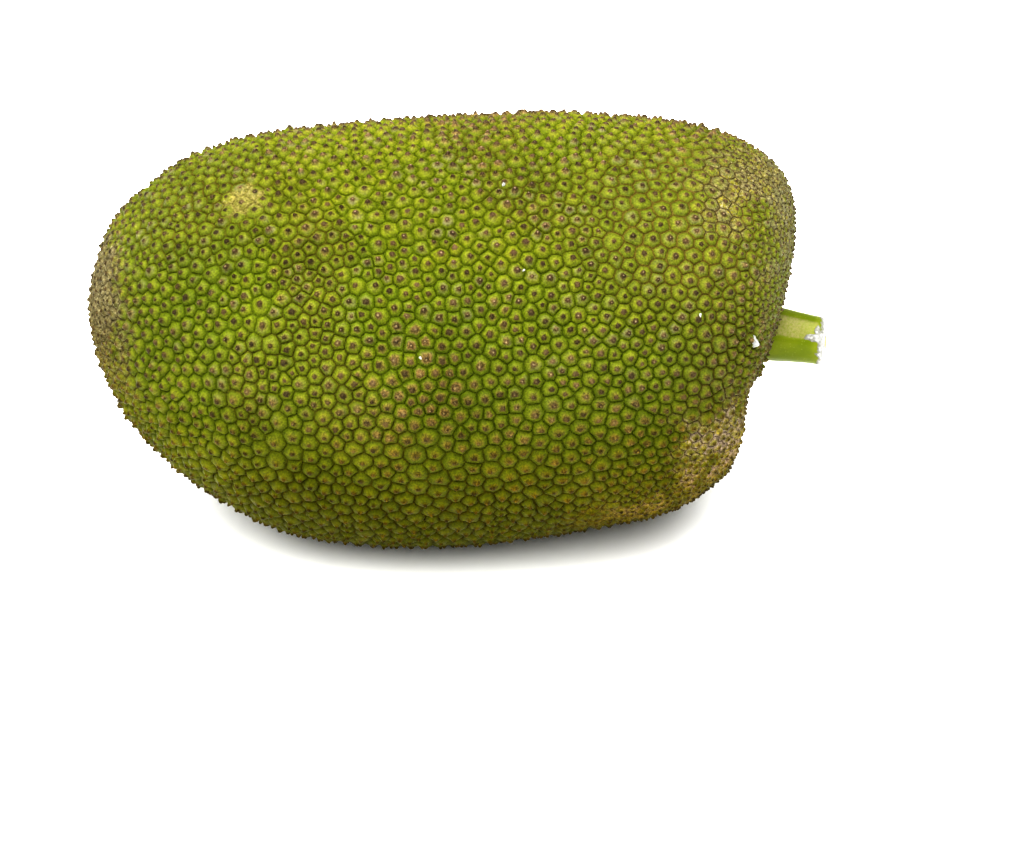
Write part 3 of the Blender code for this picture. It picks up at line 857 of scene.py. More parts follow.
def build_stem():
    cols = 168
    us = np.concatenate([np.linspace(0.03, 0.96, 62), np.linspace(0.968, 1.0, 5), 1 + np.linspace(0.012, 0.10, 6),
                         1 + 0.10 + 0.90 * np.linspace(0.04, 0.985, 26)])
    a = 2 * np.pi * np.arange(cols) / cols
    U, A = np.meshgrid(us, a, indexing="ij")
    P, n, r, z = stem_point(U, A)
    rows = len(us)
    V = P.reshape(-1, 3)
    nn = n.reshape(-1, 3)
    tip = V[(rows - 1) * cols:].mean(0)
    foot = S_BASE + STEM_OUT * 0.0006
    V = np.concatenate([V, [tip, foot]])
    nn = np.concatenate([nn, [STEM_OUT, -STEM_OUT]])
    quads = grid_faces(rows, cols)
    k = np.arange(cols)
    t1 = np.stack([(rows - 1) * cols + k, (rows - 1) * cols + (k + 1) % cols, np.full(cols, rows * cols)], 1)
    t2 = np.stack([(k + 1) % cols, k, np.full(cols, rows * cols + 1)], 1)
    tris = np.concatenate([t1, t2])
    quads, tris = outward(V, quads, tris, nn)
    # data: how far along, how far in over the cut, angle, radius share
    along = np.concatenate([np.clip(U, 0, 1).ravel(), [1, 0]])
    cut = np.concatenate([smooth(0.06, 0.13, np.clip(U - 1, 0, 1)).ravel(), [1, 0]])
    share = np.concatenate([(r / STEM_END_RADIUS).ravel(), [0, 0]])
    vid = np.concatenate([quads.ravel(), tris.ravel()])
    # texture places: the side as a strip, the cut face as a disc beside it
    uu = np.concatenate([U.ravel(), [2.0, 0.0]])
    ang = np.concatenate([A.ravel(), [0, 0]])
    faces_v = [f for f in quads.tolist()] + [f for f in tris.tolist()]
    uv = []
    for f in faces_v:
        on_cut = sum(uu[i] for i in f) / len(f) > 1.06
        ref = ang[f[0]]
        for i in f:
            t = ang[i]
            if i >= rows * cols:
                t = ref
            if t - ref > math.pi:
                t -= 2 * math.pi
            if ref - t > math.pi:
                t += 2 * math.pi
            if on_cut:
                rr = share[i] * 0.235
                uv.append((0.75 + rr * math.cos(t), 0.74 + rr * math.sin(t)))
            elif uu[i] == 0.0 or (i == rows * cols + 1):
                uv.append((0.01 + 0.46 * (t / (2 * math.pi) + 0.05) / 1.1, 0.005))
            else:
                uv.append((0.01 + 0.46 * (t / (2 * math.pi) + 0.05) / 1.1, 0.015 + 0.97 * min(uu[i], 1.1) / 1.1))
    # how squarely the skin faces the direction that mirrors the overhead light into the camera, for the painted
    # highlight band
    highlight_normal = np.array([0.0, -math.cos(math.radians(49)), math.sin(math.radians(49))])
    highlight_normal = unit(highlight_normal - STEM_OUT * highlight_normal.dot(STEM_OUT))
    data = {"stem_along": along, "stem_cut": cut, "stem_share": share, "stem_angle": ang, "stem_highlight_facing": nn @ highlight_normal}
    return flat_mesh("stem_peduncle", V, quads, tris, None, data, np.array(uv))


def blob_noise(p, size, seed):
    return noise3(p.reshape(-1, 3), size, seed).reshape(p.shape[:-1])


def build_latex():
    """Dried latex over the cut and its rim, running a little way back down the near side."""
    cols = 200
    us = np.concatenate([np.linspace(0.60, 0.985, 64), np.linspace(0.988, 1.0, 4), 1 + np.linspace(0.007, 0.10, 14),
                         1 + 0.10 + 0.90 * np.linspace(0.02, 0.60, 34)])
    a = 2 * np.pi * np.arange(cols) / cols
    U, A = np.meshgrid(us, a, indexing="ij")
    P, n, r, z = stem_point(U, A)
    n1 = blob_noise(P, 0.0035, 31)
    n2 = blob_noise(P, 0.0014, 32)
    side_len = S_LONG - CUT_CROWN - CUT_ROUND
    back = (1 - np.clip(U, 0, 1)) * side_len          # metres back from the rim
    over = np.clip(U - 1, 0, 1)
    inn = np.clip((over - 0.10) / 0.90, 0, 1)
    # ring of latex on the rim, ragged edges both ways
    ring_back = (-0.75 + 0.55 * wave(A[0], (2, 3, 5, 9), 8)) * MM
    ring_back = np.maximum(ring_back, -2.2 * MM)
    f = (ring_back[None] - back) / (0.9 * MM)
    lip = (over - 0.022 + 0.016 * wave(A, (2, 3, 5, 9), 8)) / 0.016
    f = np.where(over > 0, np.minimum(lip, 1.1 - (inn - 0.30 - 0.10 * wave(A, (3, 4, 7, 11), 9)) / 0.16), f)
    # the run on the near side and two small ones elsewhere
    toward = np.array([0.0, -math.cos(LIE), math.sin(LIE)])
    a0 = math.atan2(toward.dot(S_SIDE), toward.dot(S_TOP))
    for (da, bk, ra, rb, amt) in ((0.06, 0.4, 0.17, 4.3, 2.2), (0.40, -0.2, 0.20, 1.2, 1.2), (0.02, 4.2, 0.10, 1.3, 1.1),
                                  (2.6, 1.0, 0.30, 3.2, 1.7), (-2.1, 0.8, 0.22, 2.4, 1.5)):
        d = (A - (a0 + da) + math.pi) % (2 * math.pi) - math.pi
        e = 1 - (d / ra) ** 2 - ((back / MM - bk) / rb) ** 2
        f = np.maximum(f, np.where(U <= 1.10, amt * e, -9))
    f = f + 0.75 * n1 + 0.75 * n2
    th = np.clip(f, -0.6, 1.6)
    th = np.where(th > 0, np.sqrt(np.maximum(th, 0)) * 0.24, th * 0.5) * MM
    th = th + np.where(f > 0.2, 0.04 * n2 * MM, 0)
    V = (P + n * th[..., None]).reshape(-1, 3)
    quads = grid_faces(len(us), cols)
    keep = (f.ravel()[quads] > -0.25).any(1)
    quads = quads[keep]
    tris = np.zeros((0, 3), int)
    quads, tris = outward(V, quads, tris, n.reshape(-1, 3))
    used, inv = np.unique(quads.ravel(), return_inverse=True)
    g4 = inv.reshape(-1, 4)
    uv = np.stack([0.01 + 0.98 * A.ravel()[used] / (2 * np.pi), 0.01 + 0.98 * (U.ravel()[used] - 0.6) / 1.1], 1)
    ref = uv[g4[:, 0], 0]
    loop_uv = uv[g4.ravel()].copy()
    ref = np.repeat(ref, 4)
    jump = loop_uv[:, 0] - ref
    loop_uv[:, 0] -= np.where(jump > 0.5, 0.98, 0) - np.where(jump < -0.5, 0.98, 0)
    loop_uv[:, 0] = 0.02 + 0.96 * (loop_uv[:, 0] + 0.02) / 1.04
    return flat_mesh("latex_on_cut", V[used], g4, tris, None, {"latex_thick": th.ravel()[used] / MM}, loop_uv)


def drop(w_at, size, seed, grow=1.0):
    """A drop of dried latex lying on the rind: a flattened lumpy dome, its edge below the surface."""
    w0 = np.array([w_at])
    P0 = point(w0)[0]
    A_, B_, N_ = jac(w0)
    ex, nz = unit(A_)[0], N_[0]
    ey = np.cross(nz, ex)
    # height of the skin's points near it
    near_v = SKIN["V"]
    d = near_v - P0
    sel = np.linalg.norm(d, axis=1) < 3 * size
    loc = np.stack([d[sel] @ ex, d[sel] @ ey, d[sel] @ nz], 1)
    rows, cols = 16, 44
    pts = []
    tree = kdtree.KDTree(len(loc))
    for i, q in enumerate(loc):
        tree.insert((q[0], q[1], 0.0), i)
    tree.balance()
    rg = np.random.default_rng(seed)
    ph = rg.uniform(0, 6.28, 4)

    def ground(x, y):
        hits = tree.find_n((x, y, 0.0), 6)
        ww = np.array([1 / (h[2] + 0.0001) ** 2 for h in hits])
        return float((np.array([loc[h[1], 2] for h in hits]) * ww).sum() / ww.sum())

    for i in range(rows):
        q = i / (rows - 1)
        for j in range(cols):
            a = 2 * np.pi * j / cols
            lump = 1 + 0.18 * math.sin(2 * a + ph[0]) + 0.12 * math.sin(3 * a + ph[1]) + 0.07 * math.sin(5 * a + ph[2])
            rr = size * lump * q
            x, y = rr * math.cos(a) * 1.15, rr * math.sin(a) * 0.85
            h = ground(x, y) + size * 0.26 * grow * (1 - q ** 2.2) - (0.35 * MM if i == rows - 1 else 0)
            h += 0.10 * MM * math.sin(9 * x / size + ph[3]) * (1 - q)
            pts.append(P0 + ex * x + ey * y + nz * h)
    V = np.array(pts)
    quads = grid_faces(rows, cols)[cols:]
    centre = V[:cols].mean(0)
    V = np.concatenate([V, [centre]])
    k = np.arange(cols)
    tris = np.stack([cols + k, cols + (k + 1) % cols, np.full(cols, len(V) - 1)], 1)
    nn = np.tile(nz, (len(V), 1))
    quads, tris = outward(V, quads, tris, nn)
    if np.dot(np.cross(V[tris[0, 1]] - V[tris[0, 0]], V[tris[0, 2]] - V[tris[0, 0]]), nz) < 0:
        tris = tris[:, ::-1]
    keepv = np.unique(np.concatenate([quads.ravel(), tris.ravel()]))
    remap = np.full(len(V), -1)
    remap[keepv] = np.arange(len(keepv))
    V, quads, tris = V[keepv], remap[quads], remap[tris]
    rel = V - P0
    uvp = np.stack([rel @ ex, rel @ ey], 1) / (size * 3.2) + 0.5
    return V, quads, tris, uvp


def foot(along, up, back):
    """Flat-map place of the point of the body nearest to a point given in the fruit's own axes."""
    s, a = (g.ravel() for g in np.meshgrid(np.linspace(0.02, 0.99, 240), np.linspace(0, 2 * np.pi, 360, endpoint=False), indexing="ij"))
    k = int(np.argmin(np.linalg.norm(own_axes(body(s, a)) - np.array([along, up, back]), axis=1)))
    rho = float(np.interp(s[k], T_S, T_RHO))
    return rho * math.cos(a[k]), rho * math.sin(a[k])


def build_rind_drops():
    """Spots of dried latex on the rind: one beside the stem, where the cut stem dripped, and a few specks."""
    spots = ((0.1563, -0.0075, -0.0782, 2.2, 2.1), (0.1275, 0.005, -0.0945, 0.8, 1.2), (0.0361, 0.0655, -0.0822, 0.75, 1.2),
             (0.0464, 0.0246, -0.1019, 0.6, 1.2), (-0.0017, -0.016, -0.1046, 0.7, 1.2), (0.149, 0.022, 0.070, 1.2, 1.2),
             (-0.060, 0.030, 0.097, 0.8, 1.2))
    Vs, Q, T, UV4, UV3, base = [], [], [], [], [], 0
    for k, (along, up, back, mm, grow) in enumerate(spots):
        V, quads, tris, uv = drop(foot(along, up, back), mm * MM, 60 + k, grow)
        uv = (uv * 0.9 + 0.05 + np.array([k % 3, k // 3])) / 3
        Vs.append(V)
        Q.append(quads + base)
        T.append(tris + base)
        UV4.append(uv[quads.ravel()])
        UV3.append(uv[tris.ravel()])
        base += len(V)
    V = np.concatenate(Vs)
    return flat_mesh("latex_on_rind", V, np.concatenate(Q), np.concatenate(T), None,
                     {"latex_thick": np.full(len(V), 0.7)}, np.concatenate(UV4 + UV3))


STEM = build_stem()
LATEX = build_latex()
DROPS = build_rind_drops()


# =====================================================================================================================
# 7. materials
# =====================================================================================================================
class Tree:
    """Short ways to add shader nodes."""

    def __init__(self, name):
        self.mat = bpy.data.materials.new(name)
        self.mat.use_nodes = True
        self.t = self.mat.node_tree
        self.bsdf = self.t.nodes["Principled BSDF"]
        self.co = self.t.nodes.new("ShaderNodeTexCoord").outputs["Object"]

    def put(self, socket, value):
        if isinstance(value, bpy.types.NodeSocket):
            self.t.links.new(value, socket)
        elif isinstance(value, tuple) and len(value) == 3 and len(socket.default_value) == 4:
            socket.default_value = (*value, 1.0)
        else:
            socket.default_value = value

    def attr(self, name):
        n = self.t.nodes.new("ShaderNodeAttribute")
        n.attribute_type = "GEOMETRY"
        n.attribute_name = name
        return n.outputs["Fac"]

    def math(self, op, a, b=0.0, clamp=False):
        n = self.t.nodes.new("ShaderNodeMath")
        n.operation = op
        n.use_clamp = clamp
        self.put(n.inputs[0], a)
        self.put(n.inputs[1], b)
        return n.outputs[0]

    def add(self, a, b):
        return self.math("ADD", a, b)

    def mul(self, a, b, clamp=False):
        return self.math("MULTIPLY", a, b, clamp)

    def span(self, x, lo, hi, out_lo=0.0, out_hi=1.0, soft=True):
        n = self.t.nodes.new("ShaderNodeMapRange")
        n.interpolation_type = "SMOOTHSTEP" if soft else "LINEAR"
        self.put(n.inputs[0], x)
        for k, v in zip((1, 2, 3, 4), (lo, hi, out_lo, out_hi)):
            self.put(n.inputs[k], v)
        return n.outputs[0]

    def noise(self, size, detail=3.0, rough=0.55, seed=0.0, warp=0.0, stretch=None):
        m = self.t.nodes.new("ShaderNodeMapping")
        self.t.links.new(self.co, m.inputs["Vector"])
        m.inputs["Location"].default_value = (seed, seed * 0.7, -seed * 0.4)
        if stretch is not None:
            m.inputs["Scale"].default_value = stretch
        n = self.t.nodes.new("ShaderNodeTexNoise")
        self.t.links.new(m.outputs[0], n.inputs["Vector"])
        n.inputs["Scale"].default_value = 1.0 / size
        n.inputs["Detail"].default_value = detail
        n.inputs["Roughness"].default_value = rough
        n.inputs["Distortion"].default_value = warp
        return n.outputs["Fac"]

    def cells(self, size, feature="F1", seed=0.0, smoothness=0.3, out="Distance"):
        m = self.t.nodes.new("ShaderNodeMapping")
        self.t.links.new(self.co, m.inputs["Vector"])
        m.inputs["Location"].default_value = (seed, -seed, seed * 0.5)
        n = self.t.nodes.new("ShaderNodeTexVoronoi")
        n.feature = feature
        self.t.links.new(m.outputs[0], n.inputs["Vector"])
        n.inputs["Scale"].default_value = 1.0 / size
        return n.outputs[out]

    def mix(self, fac, a, b, how="MIX"):
        n = self.t.nodes.new("ShaderNodeMix")
        n.data_type = "RGBA"
        n.blend_type = how
        n.clamp_factor = True
        self.put(n.inputs[0], fac)
        self.put(n.inputs[6], a)
        self.put(n.inputs[7], b)
        return n.outputs[2]

    def bump(self, height, distance, strength=1.0, normal=None):
        n = self.t.nodes.new("ShaderNodeBump")
        n.inputs["Strength"].default_value = strength
        n.inputs["Distance"].default_value = distance
        self.put(n.inputs["Height"], height)
        if normal is not None:
            self.t.links.new(normal, n.inputs["Normal"])
        return n.outputs["Normal"]


def rind_material():
    m = Tree("rind")
    t, rnd, cork, rust = (m.attr(k) for k in NAMES1)
    knob, rnd2, brown, pale = (m.attr(k) for k in NAMES2)
    big = m.noise(0.070, 3.0, 0.55, 1.0)
    mid = m.noise(0.012, 3.0, 0.6, 2.0)
    fleck = m.noise(0.0042, 3.0, 0.65, 6.0)
    small = m.noise(0.0020, 3.0, 0.65, 3.0)
    grain = m.noise(0.0009, 2.0, 0.7, 4.0)
    up = m.t.nodes.new("ShaderNodeSeparateXYZ")
    m.t.links.new(m.co, up.inputs[0])
    low = m.span(m.add(up.outputs[2], m.mul(m.add(big, -0.5), 0.10)), 0.030, 0.165, 1.0, 0.0)
    right = m.span(up.outputs[0], 0.04, 0.10)
    high = m.span(m.add(up.outputs[2], m.mul(m.add(big, -0.5), 0.06)), 0.150, 0.205)
    far_end = m.span(up.outputs[0], -0.112, -0.140)
    far_half = m.span(up.outputs[0], -0.010, -0.070)
    # green of the crowns: from one tubercle to the next, and over larger patches
    tone = m.add(m.mul(m.add(rnd, -0.5), 0.50), m.mul(m.add(big, -0.5), 1.2))
    tone = m.add(tone, m.mul(m.add(fleck, -0.5), 1.5))
    tone = m.math("ADD", tone, 0.5, True)
    crown = m.mix(tone, (0.098, 0.121, 0.008), (0.142, 0.152, 0.013))
    # greyish bloom on some flanks
    bloom = m.mul(m.span(mid, 0.42, 0.66), m.span(rnd2, 0.15, 0.9))
    crown = m.mix(m.mul(m.mul(bloom, 0.74), m.add(1.0, m.mul(low, -0.8))), crown, (0.134, 0.129, 0.066))
    flank = m.mix(tone, (0.074, 0.101, 0.002), (0.110, 0.131, 0.004))
    flank = m.mix(m.mul(brown, 0.32), flank, (0.076, 0.064, 0.013))
    edge = m.add(t, m.mul(m.add(small, -0.5), 0.22))
    col = m.mix(m.span(edge, 0.42, 0.90), crown, flank)
    groove = m.mix(m.math("ADD", m.mul(brown, 1.1), m.mul(m.add(fleck, -0.5), 0.8), True), (0.088, 0.114, 0.003), (0.100, 0.078, 0.012))
    col = m.mix(m.span(edge, 0.81, 1.0), col, groove)
    # rust on the crown round the dry tip
    reach = m.add(m.mul(rust, 0.32), 0.30)
    ring = m.math("DIVIDE", m.add(t, m.mul(m.add(small, -0.5), 0.40)), reach)
    ring = m.span(ring, 0.55, 1.35, 1.0, 0.0)
    ring = m.mul(ring, m.math("ADD", m.mul(rust, 0.55), m.add(m.mul(m.span(rnd2, 0.15, 1.0), 0.34), 0.16), True))
    halo = m.mix(m.span(grain, 0.38, 0.62), (0.082, 0.056, 0.020), (0.165, 0.115, 0.046))
    halo = m.mix(m.span(m.add(rust, m.mul(m.add(rnd, -0.5), 0.5)), 0.20, 0.75), halo,
                 m.mix(m.span(grain, 0.38, 0.62), (0.094, 0.058, 0.022), (0.172, 0.115, 0.048)))
    col = m.mix(m.mul(ring, m.add(1.0, m.mul(far_half, -0.30))), col, halo)
    foot = m.span(m.add(t, m.mul(m.add(small, -0.5), 0.22)), 0.24, 0.42, 1.0, 0.0)
    col = m.mix(m.mul(foot, m.span(rnd, 0.05, 0.95, 0.42, 0.10)), col, (0.062, 0.046, 0.012))
    # cork: first in the grooves and on the flanks, then over the crowns
    amount = m.add(m.mul(cork, 1.35), m.mul(m.add(t, -0.62), 0.55))
    amount = m.add(amount, m.mul(m.add(fleck, -0.5), 0.9))
    corky = m.mul(m.span(amount, 0.22, 0.86), m.span(cork, 0.04, 0.22))
    corkcol = m.mix(m.span(small, 0.36, 0.64), (0.112, 0.091, 0.038), (0.215, 0.185, 0.098))
    lines = m.span(m.cells(0.0021, "DISTANCE_TO_EDGE", 7.0), 0.02, 0.11, 1.0, 0.0)
    corkcol = m.mix(m.mul(far_end, 0.75), corkcol, m.mix(m.span(small, 0.36, 0.64), (0.112, 0.092, 0.050), (0.182, 0.152, 0.092)))
    olive = m.mul(m.span(m.add(mid, m.mul(m.add(rnd, -0.5), 0.25)), 0.47, 0.62), m.span(m.add(cork, m.mul(m.add(big, -0.5), 0.6)), 0.95, 0.45))
    olive = m.mul(olive, m.add(1.0, m.mul(far_end, -0.65)))
    corkcol = m.mix(m.mul(olive, 0.75), corkcol, m.mix(m.span(small, 0.36, 0.64), (0.120, 0.105, 0.012), (0.225, 0.190, 0.022)))
    corkcol = m.mix(m.mul(lines, m.span(mid, 0.40, 0.62)), corkcol, (0.320, 0.285, 0.170))
    corkcol = m.mix(m.span(edge, 0.84, 1.0), corkcol, m.mix(right, (0.122, 0.098, 0.050), (0.072, 0.054, 0.022)))
    sunny = m.mul(m.span(up.outputs[0], -0.118, -0.104), m.span(up.outputs[0], 0.02, -0.02))
    corkcol = m.mix(m.mul(sunny, 0.72), corkcol, m.mix(m.span(small, 0.36, 0.64), (0.134, 0.130, 0.020), (0.186, 0.168, 0.046)))
    corner = m.mul(m.mul(corky, right), low)
    patch = m.span(m.add(m.noise(0.0085, 2.0, 0.5, 9.0), m.mul(m.add(rnd, -0.5), 0.22)), 0.53, 0.60)
    corkcol = m.mix(m.mul(m.mul(corner, patch), 0.66), corkcol, m.mix(m.span(small, 0.38, 0.62), (0.130, 0.135, 0.010), (0.235, 0.215, 0.020)))
    corkcol = m.mix(m.mul(corner, m.mul(lines, 0.7)), corkcol, (0.262, 0.225, 0.128))
    col = m.mix(m.mul(corky, 0.88), col, corkcol)
    # painted light and shade: the cork at the lower stem end brightened above the floor, left darker close to it
    raised = m.mul(corner, m.span(up.outputs[2], 0.024, 0.062, 0.10, 1.0))
    col = m.mix(raised, col, m.mix(1.0, col, (1.82, 1.66, 3.05), "MULTIPLY"))
    # painted sheen: a pale grey haze over the shoulder at the stem end
    painted_sheen = m.mul(m.span(up.outputs[0], 0.140, 0.160), m.span(m.add(fleck, m.mul(m.add(rnd2, -0.5), 0.3)), 0.42, 0.62))
    col = m.mix(m.mul(painted_sheen, 0.55), col, (0.172, 0.170, 0.098))
    col = m.mix(m.mul(m.mul(corky, right), high), col, m.mix(1.0, col, (0.95, 0.98, 0.84), "MULTIPLY"))
    # dry tip
    tipcol = m.mix(m.span(rnd, 0.1, 0.95), (0.033, 0.021, 0.010), (0.072, 0.046, 0.022))
    belly = m.span(up.outputs[2], 0.165, 0.120)
    tipcol = m.mix(belly, tipcol, m.mix(m.span(m.add(rnd, m.mul(m.add(small, -0.5), 0.8)), 0.1, 0.95), (0.042, 0.027, 0.013), (0.106, 0.071, 0.037)))
    tipcol = m.mix(m.mul(m.mul(pale, m.span(rnd2, 0.40, 0.85)), m.span(small, 0.44, 0.60)), tipcol, (0.185, 0.136, 0.062))
    # painted highlight: a pale glint on the point of some tips
    painted_glint = m.span(m.add(t, m.mul(m.add(fleck, -0.5), 0.16)), 0.10, 0.03)
    tipcol = m.mix(m.mul(painted_glint, m.span(m.add(rnd2, m.mul(pale, 0.3)), 0.56, 0.88, 0.0, 0.70)), tipcol, (0.255, 0.200, 0.122))
    tipcol = m.mix(m.mul(m.span(grain, 0.52, 0.68), 0.40), tipcol, (0.105, 0.074, 0.034))
    # painted shade: tips darker over the blossom-end half
    tipcol = m.mix(far_half, tipcol, m.mix(1.0, tipcol, (0.76, 0.75, 0.68), "MULTIPLY"))
    # painted light at the lower stem end: the rind lighter and browner there; its tips darker and wider
    heel = m.mul(right, m.span(up.outputs[2], 0.085, 0.045))
    tipcol = m.mix(heel, tipcol, m.mix(1.0, tipcol, (0.62, 0.60, 0.60), "MULTIPLY"))
    ragged = m.add(m.mul(m.add(small, -0.5), 0.85), m.mul(m.add(fleck, -0.5), 0.45))
    reach = m.add(m.add(knob, m.mul(high, -0.08)), m.mul(heel, m.span(knob, 0.02, 0.12, 0.0, 0.16)))
    col = m.mix(heel, col, m.mix(1.0, col, (1.16, 1.02, 0.92), "MULTIPLY"))
    col = m.mix(m.span(m.add(reach, ragged), 0.08, 0.80, 0.0, 0.94), col, tipcol)
    # painted shade: darker and browner underneath, towards the floor, less on the cork at the lower stem end
    underside_painted_shade = m.mix(1.0, col, (0.54, 0.50, 0.06), "MULTIPLY")
    spared = m.mul(m.mul(corky, right), m.span(up.outputs[2], 0.024, 0.062, 0.22, 0.75))
    col = m.mix(m.mul(m.mul(low, 0.90), m.add(1.0, m.mul(spared, -1.0))), col, underside_painted_shade)
    # more painted shade: blue taken out of the colour below the waist, except on the cork at the lower stem end
    deep = m.mul(m.span(up.outputs[2], 0.125, 0.065), m.add(1.0, m.mul(m.mul(corky, right), -0.9)))
    col = m.mix(deep, col, m.mix(1.0, col, (1.01, 1.0, 0.30), "MULTIPLY"))
    # painted light: paler and yellower towards the top, where the overhead light falls
    high = m.mul(high, m.add(1.0, m.mul(brown, -0.6)))
    col = m.mix(high, col, m.mix(1.0, col, (1.28, 1.19, 1.45), "MULTIPLY"))
    # painted light and shade: parts of the front a little darker at the right of the waist, lighter at its left and low
    # at the blossom end
    waist = m.mul(m.span(up.outputs[2], 0.105, 0.135), m.span(up.outputs[2], 0.185, 0.160))
    painted_light_gain = m.add(1.0, m.mul(m.mul(waist, m.mul(m.span(up.outputs[0], 0.055, 0.090), m.span(up.outputs[0], 0.150, 0.130))), -0.085))
    painted_light_gain = m.add(painted_light_gain, m.mul(m.mul(waist, m.mul(m.span(up.outputs[0], -0.120, -0.095), m.span(up.outputs[0], 0.005, -0.020))), 0.09))
    lower = m.mul(m.span(up.outputs[2], 0.035, 0.065), m.span(up.outputs[2], 0.135, 0.110))
    painted_light_gain = m.add(painted_light_gain, m.mul(m.mul(lower, m.span(up.outputs[0], -0.095, -0.125)), 0.13))
    # speckle, carrying the painted light and shade gains
    speckle_and_painted_gain = m.add(m.span(grain, 0.34, 0.66, 0.72, 1.28, False), m.mul(m.add(small, -0.5), 0.9))
    speckle_and_painted_gain = m.mul(speckle_and_painted_gain, painted_light_gain)
    sp = m.t.nodes.new("ShaderNodeCombineColor")
    for k in range(3):
        m.put(sp.inputs[k], speckle_and_painted_gain)
    col = m.mix(1.0, col, sp.outputs[0], "MULTIPLY")
    m.put(m.bsdf.inputs["Base Color"], col)
    rough = m.span(t, 0.3, 1.0, 0.46, 0.62)
    rough = m.add(rough, m.mul(corky, 0.25))
    rough = m.add(rough, m.mul(m.span(knob, 0.1, 0.6), -0.03))
    rough = m.math("ADD", rough, m.mul(m.add(small, -0.5), 0.25), True)
    m.put(m.bsdf.inputs["Roughness"], rough)
    m.bsdf.inputs["Specular IOR Level"].default_value = 0.20
    m.put(m.bsdf.inputs["Specular Tint"], m.mix(low, (0.90, 0.88, 0.60), (0.62, 0.54, 0.10)))
    h = m.add(m.mul(small, 0.60), m.mul(grain, 0.40))
    h = m.add(h, m.mul(m.mul(m.mul(corky, lines), m.add(1.0, m.mul(sunny, -0.85))), 0.7))
    m.put(m.bsdf.inputs["Normal"], m.bump(h, 0.00075, 1.0))
    return m.mat


def stem_material():
    m = Tree("stem_skin")
    along, cut, share, face = m.attr("stem_along"), m.attr("stem_cut"), m.attr("stem_share"), m.attr("stem_highlight_facing")
    big = m.noise(0.010, 3.0, 0.5, 1.0)
    small = m.noise(0.0011, 3.0, 0.6, 2.0)
    grain = m.noise(0.00035, 2.0, 0.6, 3.0)
    skin = m.mix(m.span(big, 0.30, 0.70), (0.110, 0.148, 0.002), (0.144, 0.177, 0.004))
    # painted highlight: a pale beige band along the upper side, where the overhead light is mirrored
    painted_highlight_band = m.span(m.add(face, m.mul(m.add(small, -0.5), 0.05)), 0.885, 0.935)
    painted_highlight_colour = m.mix(m.span(small, 0.35, 0.65), (0.165, 0.180, 0.040), (0.225, 0.205, 0.092))
    painted_highlight_colour = m.mix(m.span(along, 0.60, 0.95, 0.0, 0.45), painted_highlight_colour, (0.175, 0.200, 0.030))
    skin = m.mix(m.mul(painted_highlight_band, 0.92), skin, painted_highlight_colour)
    # painted shade: darker green down in the socket and at its mouth
    skin = m.mix(m.span(along, 0.22, 0.34, 0.75, 0.0), skin, (0.080, 0.125, 0.006))
    skin = m.mix(m.span(along, 0.92, 1.0, 0.0, 0.22), skin, (0.240, 0.255, 0.036))
    dots = m.span(m.cells(0.0016, "F1", 5.0), 0.10, 0.22, 1.0, 0.0)
    skin = m.mix(m.mul(dots, 0.30), skin, (0.330, 0.340, 0.110))
    skin = m.mix(m.mul(m.span(grain, 0.55, 0.75), 0.25), skin, (0.090, 0.130, 0.006))
    # cut face: green rind, pale flesh with darker vessels, a softer core
    vessels = m.span(m.cells(0.00115, "F1", 9.0), 0.16, 0.34, 1.0, 0.0)
    flesh = m.mix(m.span(small, 0.35, 0.70), (0.270, 0.270, 0.130), (0.350, 0.340, 0.205))
    flesh = m.mix(m.mul(vessels, 0.45), flesh, (0.180, 0.155, 0.060))
    flesh = m.mix(m.span(share, 0.30, 0.18), flesh, (0.300, 0.260, 0.140))
    flesh = m.mix(m.span(share, 0.78, 0.93), flesh, (0.200, 0.255, 0.040))
    flesh = m.mix(m.mul(m.span(m.math("ABSOLUTE", m.add(share, -0.74)), 0.05, 0.015), 0.55), flesh, (0.180, 0.200, 0.060))
    col = m.mix(cut, skin, flesh)
    m.put(m.bsdf.inputs["Base Color"], col)
    rough = m.add(m.span(cut, 0.0, 1.0, 0.30, 0.62), m.mul(m.add(small, -0.5), 0.10))
    m.put(m.bsdf.inputs["Roughness"], rough)
    m.bsdf.inputs["Specular IOR Level"].default_value = 0.30
    m.bsdf.inputs["Specular Tint"].default_value = (1.0, 0.93, 0.50, 1.0)
    m.bsdf.inputs["Subsurface Weight"].default_value = 0.08
    m.bsdf.inputs["Subsurface Radius"].default_value = (0.6, 1.0, 0.2)
    m.bsdf.inputs["Subsurface Scale"].default_value = 0.0015
    h = m.add(m.mul(small, 0.20), m.mul(m.mul(cut, vessels), 0.8))
    m.put(m.bsdf.inputs["Normal"], m.bump(h, 0.00022, 0.7))
    return m.mat


